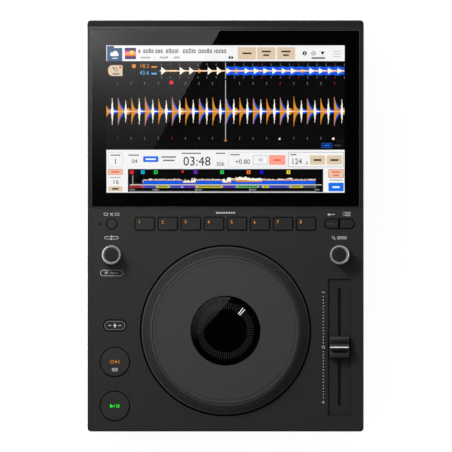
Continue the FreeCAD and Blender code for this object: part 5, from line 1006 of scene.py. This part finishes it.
# %% Draw the row of readings
tiles("pale", 1, 0.8, (108.1, 152.0, 122.8, 166.8), (228.6, 152.0, 286.8, 166.9), line=0.25)
tiles("grey", 1, 0.6, (288.2, 152.0, 343.6, 166.9), line=0.35)
tiles("grey", 1, 0.4, (253.0, 155.4, 267.9, 164.3), line=0.3)
tiles("grey", 1, 0.4, (110.6, 154.4, 120.4, 155.6), (128.6, 154.4, 139.2, 155.6),
      (161.6, 156.2, 176.0, 157.6), (163.0, 159.6, 174.6, 161.0), (181.6, 152.6, 201.0, 153.8),
      (216.0, 152.6, 225.4, 153.8), (230.4, 154.0, 239.6, 155.2), (290.4, 154.0, 296.6, 155.2))
for text, x, y, size, wide in (("1", 115.5, 161.6, 7.6, 1), ("04", 134.6, 161.3, 5.8, 1),
                               ("03:48", 197.0, 161.6, 12.8, 0.98), (".506", 219.8, 164.0, 5.4, 1),
                               ("+0.80", 242.6, 161.8, 6.6, 1), ("10", 260.4, 159.9, 4.4, 1),
                               ("124", 296.6, 161.6, 8.2, 0.9), (".0", 306.4, 163.0, 4.6, 1),
                               ("16", 115.6, 182.0, 6.8, 1)):
    screen.figures("black", text, x, y, size, layer=1, wide=wide)
tiles("blue", 1, 0.9, (143.2, 156.2, 158.4, 161.9), (328.4, 182.6, 343.7, 191.2))
tiles("white", 2, 0.5, (145.6, 158.2, 156.0, 159.9), (332.4, 186.1, 339.8, 187.8))
tiles("coral", 1, 0.9, (269.2, 155.2, 285.2, 164.5))
tiles("salmon", 2, 0.7, (269.7, 155.7, 284.7, 164.0))
tiles("coral", 3, 0.5, (273.4, 159.1, 281.0, 160.7))
for start, end in ((310.0, 325.0), (326.7, 342.2)):
    tiles("tan", 1, 0.9, (start, 155.3, end, 164.5))
    tiles("dark", 2, 0.5, (start + 3.6, 159.0, end - 3.6, 160.8))

# %% Draw the overview of the track and the buttons at its sides
bars("black", 1, (127.9, 168.9, 323.2, 191.9))
for count in range(int(173 / WIDE)):
    jag = jag if count % 2 else chance.random()
    x = 142.6 + count * WIDE
    quiet = 0.30 if x < 143 else 0.52 if 183.0 < x < 195.5 or 222.5 < x < 231.0 else 1.0
    swell = 1.0 + 0.55 * math.exp(-((x - 243) / 13) ** 2) + 0.35 * math.exp(-((x - 288) / 4) ** 2)
    swell += 0.25 * math.exp(-((x - 262) / 4) ** 2)
    body = 1.2 if quiet < 1 else 2.2 if 236 < x < 262 else 3.5
    orange_top = body + (0.5 if swell < 1.12 else 2.3 * (swell - 1) + 0.6) + 0.5 * jag
    cream_top = max(orange_top + 0.3 * jag, 4.0 * swell + 1.6 * (jag if quiet == 1 else 2.6 * jag - 1.2))
    foot = 184.1
    bars("cream", 2, (x, foot - min(8.2, cream_top), x + WIDE, foot))
    bars("orange", 3, (x, foot - min(6.6, orange_top), x + WIDE, foot))
    bars("wave", 4, (x, foot - body - 0.3 * chance.random(), x + WIDE, foot))
bars("dark", 2, (133.0, 183.0, 142.6, 184.0))
for x, colour in ((131.8, "red"), (142.8, "cyan"), (155.8, "green"), (195.6, "purple"), (222.0, "green"),
                  (248.6, "amber"), (261.8, "navy"), (288.4, "yellow")):
    bars(colour, 3, (x - 1.8, 170.2, x + 1.8, 173.8))
    bars("black", 4, (x - 0.5, 171.2, x + 0.5, 172.8))
screen.disc("red", 182.6, 171.4, 1.9, layer=3, sides=3)
for start, end in ((142.6, 156.0), (182.4, 196.0), (222.4, 249.0)):
    for dash in range(int((end - start) / 1.6)):
        bars("cyan", 3, (start + 1.6 * dash, 168.9, start + 1.6 * dash + 1.0, 169.3))
bars("cream", 5, (129.8, 184.4, 321.8, 185.0))
tape = [(129.6, "red"), (142.8, "blue"), (156.4, "yellow"), (169.6, "blue"), (182.4, "violet"),
        (195.8, "yellow"), (222.6, "violet"), (236.0, "green"), (259.0, "violet"), (262.2, "yellow"),
        (268.6, "blue"), (289.6, "yellow"), (302.8, "grey"), (316.0, None)]
for (start, colour), (end, _) in zip(tape, tape[1:]):
    bars("tape_" + colour, 2, (start, 185.5, end, 187.7))
    bars("ground", 3, (start + 2.0, 186.2, end - 2.0, 187.0))
screen.disc("white", 182.4, 187.0, 1.0, layer=5, sides=3, turned=math.pi)
bars("pale", 2, (129.4, 191.1, 316.6, 191.6))
for start, end in ((129.6, 135.0), (152.4, 159.0), (195.0, 202.0), (249.8, 256.0), (314.6, 319.4)):
    bars("grey", 3, (start, 188.8, end, 190.2))
bars("pale", 3, (132.4, 175.0, 133.1, 184.4),
     *((x - 0.25, 188.4, x + 0.25, 191.6) for x in (155.9, 196.0, 249.6)))
for x0, y0, x1, y1 in ((107.9, 168.9, 122.8, 174.6), (328.2, 169.1, 343.9, 177.8)):
    tiles("coral", 1, 1.0, (x0, y0, x1, y1))
    tiles("tan", 2, 0.7, (x0 + 0.5, y0 + 0.5, x1 - 0.5, y1 - 0.5))
tiles("coral", 3, 0.5, (111.0, 171.0, 119.6, 172.5), (331.6, 171.2, 340.4, 172.6),
      (333.0, 174.4, 339.0, 175.8))
tiles("pale", 1, 0.4, (110.0, 176.8, 120.8, 177.9), (329.6, 179.4, 342.4, 180.6))
tiles("tan", 1, 0.9, (108.2, 186.2, 122.4, 191.2))
tiles("dark", 2, 0.5, (112.0, 187.9, 118.6, 189.5))
screen.finish(lamps)

# %% [markdown]
# ## The black border and the painted highlight on the edge of the cover glass
# The glass runs nearly to the frame, and a black print on its back hides all that is not display. Here it is a
# thin ring of black with the display's opening in it. Round the front of the glass a thin lighter grey strip is
# a painted highlight, for the light that its edge catches.

# %% Print the border of the glass
def glass_page(height):
    """The page in the middle of the glass, at a height in millimetres above its front edge's plane."""
    return (slope_axes @ Matrix.Translation((0, GLASS_MIDDLE * MM, height * MM))
            @ Matrix.Diagonal((MM, MM, MM, 1)))


border = Drawing("glass_border", glass_page(GLASS_BACK + 0.01), "case", "display_black")
glass_wide, glass_long = 244.6, 163.2
open_wide, open_long = 217.0, 135.6


def frame_bars(drawing, colour, outer, inner, sink=0.0):
    """Four bars round an opening, which may sit a little lower than the middle."""
    wide, long = outer[0] / 2, outer[1] / 2
    side, low, high = inner[0] / 2, -inner[1] / 2 - sink, inner[1] / 2 - sink
    drawing.bar(colour, -wide, high, wide, long, layer=1)
    drawing.bar(colour, -wide, -long, wide, low, layer=1)
    drawing.bar(colour, -wide, low, -side, high, layer=1)
    drawing.bar(colour, side, low, wide, high, layer=1)


frame_bars(border, "border_black", (glass_wide, glass_long), (open_wide, open_long),
           GLASS_MIDDLE - PICTURE_MIDDLE)
border.finish({"border_black": ink("glass_border_black", (0.0008, 0.0008, 0.0009), 0.4,
                                   Specular_IOR_Level=0.0)})
# painted highlight: a thin lighter strip along the edge of the glass
ground = Drawing("glass_ground", glass_page(-0.41), "case", "cover_glass", film=0.01)
frame_bars(ground, "edge", (244.7, 163.3), (243.7, 162.3))
ground.finish({"edge": moulded("glass_ground_edge", (0.060, 0.061, 0.062), 0.22, 0.3, 0.003, 0.1)})

# %% [markdown]
# ## Collars of the phono jacks
# At the back, coloured plastic collars tell the jacks apart: red and white for the two sound channels and
# orange for digital sound. Each is a small turned ring that sits on its jack's washer.

# %% Turn the collars
def lying(shape, centre):
    """Lay an upright turned shape back, so that its axis points out of the rear wall."""
    over = Matrix.Translation(centre) @ Matrix.Rotation(math.radians(-90), 4, "X")
    bmesh.ops.transform(shape, matrix=over, verts=shape.verts)
    return shape


COLLAR_SEAT = 175.35
collars = {"red": (0.42, 0.012, 0.012), "white": (0.62, 0.62, 0.60), "orange": (0.60, 0.17, 0.012)}
for (name, colour), x in zip(collars.items(), (18.0, 3.0, -12.0)):
    profile = [(4.3, 0.0), (5.35, 0.0), (5.35, 1.0), (5.1, 1.3), (4.5, 1.3), (4.3, 1.15)]
    ring = lying(turn(profile, Vector((0, 0, 0)), 48), Vector((x, COLLAR_SEAT, 21.1)) * MM)
    glaze = moulded("collar_" + name, colour, 0.38, 0.3, 0.004, 0.08)
    add_piece("jack_collar_" + name, ring, [glaze], "case", smooth=35)

# %% [markdown]
# ## Camera
# The photograph looks straight down from far away, so that the sides do not show. The camera stands fourteen
# metres up with a very long lens, and 452 pixels span 412 millimetres at the deck.

# %% Set the camera
CAMERA_HEIGHT = 14.0
lens_view = bpy.data.cameras.new("portrait_lens")
lens_view.sensor_width = 36
lens_view.lens = 36 * CAMERA_HEIGHT / (452 * PIXEL * MM)
lens_view.clip_end = 100
camera = bpy.data.objects.new("portrait_camera", lens_view)
camera.location = (0.5 * PIXEL * MM, 0, deck_top + CAMERA_HEIGHT)
bpy.context.scene.collection.objects.link(camera)
bpy.context.scene.camera = camera
print("lens", round(lens_view.lens), "mm")

# %% [markdown]
# ## Floor
# A plain white sheet. It is bright enough to stay white round the dark player, as in a catalogue picture.

# %% Lay the floor
sheet = bmesh.new()
bmesh.ops.create_grid(sheet, x_segments=1, y_segments=1, size=3.0)
floor_mesh = bpy.data.meshes.new("studio_floor")
sheet.to_mesh(floor_mesh)
sheet.free()
floor = bpy.data.objects.new("studio_floor", floor_mesh)
bpy.context.scene.collection.objects.link(floor)
white = Finish("studio_white", Roughness=0.9, Emission_Strength=0.85)
paper = white.noise(0.4)
floor_mesh.materials.append(white.give(
    Base_Color=white.blend(paper, (0.88, 0.88, 0.88, 1), (0.90, 0.90, 0.90, 1)),
    Emission_Color=white.blend(paper, (0.98, 0.98, 0.98, 1), (1, 1, 1, 1))))

# %% [markdown]
# ## Light
# Dark glossy plastic shows what it mirrors. Straight above must stay dark, or the deck and the display would
# look milky, while a bright sky lower down gives the edges their shine. The sky is brighter towards the upper
# left, where the photograph's main light stands.

# %% Light the studio
world = bpy.data.worlds.new("studio_sky")
world.use_nodes = True
bpy.context.scene.world = world
sky = Nodes(world.node_tree)
look = sky.node("ShaderNodeTexCoord", out="Generated")
upward = sky.node("ShaderNodeVectorMath", {"operation": "DOT_PRODUCT"}, {0: look, 1: (0, 0, 1)}, out="Value")
sideways = sky.node("ShaderNodeVectorMath", {"operation": "DOT_PRODUCT"}, {0: look, 1: (-0.65, 0.65, 0)},
                    out="Value")
stops = [(0.0, 0.80), (0.45, 0.90), (0.80, 0.42), (0.90, 0.06), (1.0, 0.02)]
backdrop = sky.tree.nodes["Background"]
sky.feed(backdrop.inputs["Color"], sky.node("ShaderNodeValToRGB", {"stops": stops}, {0: upward}))
sky.feed(backdrop.inputs["Strength"], 0.42 * sideways + 0.56)


def area_light(name, place, target, size, watts):
    light = bpy.data.lights.new(name, "AREA")
    light.shape, light.size, light.energy = "DISK", size, watts
    stand = bpy.data.objects.new(name, light)
    stand.location = place
    aim = Vector(target) - Vector(place)
    stand.rotation_euler = aim.to_track_quat("-Z", "Y").to_euler()
    stand.visible_glossy = False
    bpy.context.scene.collection.objects.link(stand)


area_light("main_softbox", (-0.37, 0.42, 0.58), (0, 0, 0), 0.26, 7.4)
area_light("low_fill", (1.5, -1.2, 1.0), (0, 0, 0), 0.8, 2)
bpy.context.scene.view_settings.view_transform = "Standard"
print("lights set")

# %% [markdown]
# ## The sheen on the glass
# In the photograph a softbox above the player is mirrored in the upper left of the display, with a clean
# slanted end, and again in the window of the jog wheel. A lit card overhead gives the same sheen, and only
# glossy surfaces see it. A flat face mirrors what is straight above, and the display, which leans by 8.7
# degrees, what lies 17.4 degrees towards the front. So that card is moved by its height times the tangent of
# that angle.

# %% Hang the two cards
def mirrored(px, py, height, leaning):
    """Where a card must be, for its image to appear at a pixel of the photograph."""
    x, y = (value * MM for value in seen(px, py))
    if leaning:
        rise = (y - screen_front) * math.tan(SCREEN_TILT)
        y -= (height - deck_top - rise) * math.tan(2 * SCREEN_TILT)
    return Vector((x, y, height))


def hang_card(name, corners, cut, height, leaning, strength, fade, hot):
    """A card that covers the corners' pixels, cut along a line and fading towards the front."""
    low, high = (mirrored(*corner, height, leaning) for corner in corners)
    card = bmesh.new()
    middle, reach = (low + high) / 2, (high - low) / 2
    bmesh.ops.create_grid(card, x_segments=1, y_segments=1, size=1,
                          matrix=Matrix.Translation(middle) @ Matrix.Diagonal((reach.x, reach.y, 1, 1)))
    first, second = (mirrored(*point, height, leaning) for point in cut)
    across = (second - first).cross(Vector((0, 0, 1)))
    bmesh.ops.bisect_plane(card, geom=card.verts[:] + card.edges[:] + card.faces[:], plane_co=first,
                           plane_no=across, clear_inner=True)
    lit = Finish(name, Base_Color=(0, 0, 0, 1), Emission_Strength=strength)
    along = lit.node("ShaderNodeSeparateXYZ", {}, {0: lit.place}, out="Y")
    far, near = (mirrored(0, py, height, leaning).y for py in fade)
    share = lit.node("ShaderNodeMapRange", {}, {0: along, 1: near, 2: far, 3: 0.0, 4: 1.0})
    corner = lit.node("ShaderNodeVectorMath", {"operation": "DISTANCE"},
                      {0: lit.place, 1: mirrored(*hot, height, leaning)}, out="Value")
    glow = lit.node("ShaderNodeMapRange", {}, {0: corner, 1: 0.0, 2: 0.075, 3: 0.5, 4: 0.0})
    amount = 0.5 * (share * share) + glow * glow * 2.0
    mesh = bpy.data.meshes.new(name)
    card.to_mesh(mesh)
    card.free()
    mesh.materials.append(lit.give(Emission_Color=lit.blend(amount, (0, 0, 0, 1), (1, 1, 1, 1))))
    made = bpy.data.objects.new(name, mesh)
    bpy.context.scene.collection.objects.link(made)
    made.visible_camera = made.visible_diffuse = made.visible_transmission = made.visible_shadow = False
    print(name, "spans", [round(value, 3) for value in low], [round(value, 3) for value in high])


hang_card("display_sheen_card", ((40, 215), (240, -12)), ((216.5, 31), (149, 150)), 0.50, True, 2.8,
          (40, 203), (80, 25))
hang_card("window_sheen_card", ((180, 345), (240, 290)), ((233, 297), (204, 330)), 0.20, False, 1.2,
          (290, 350), (190, 280))
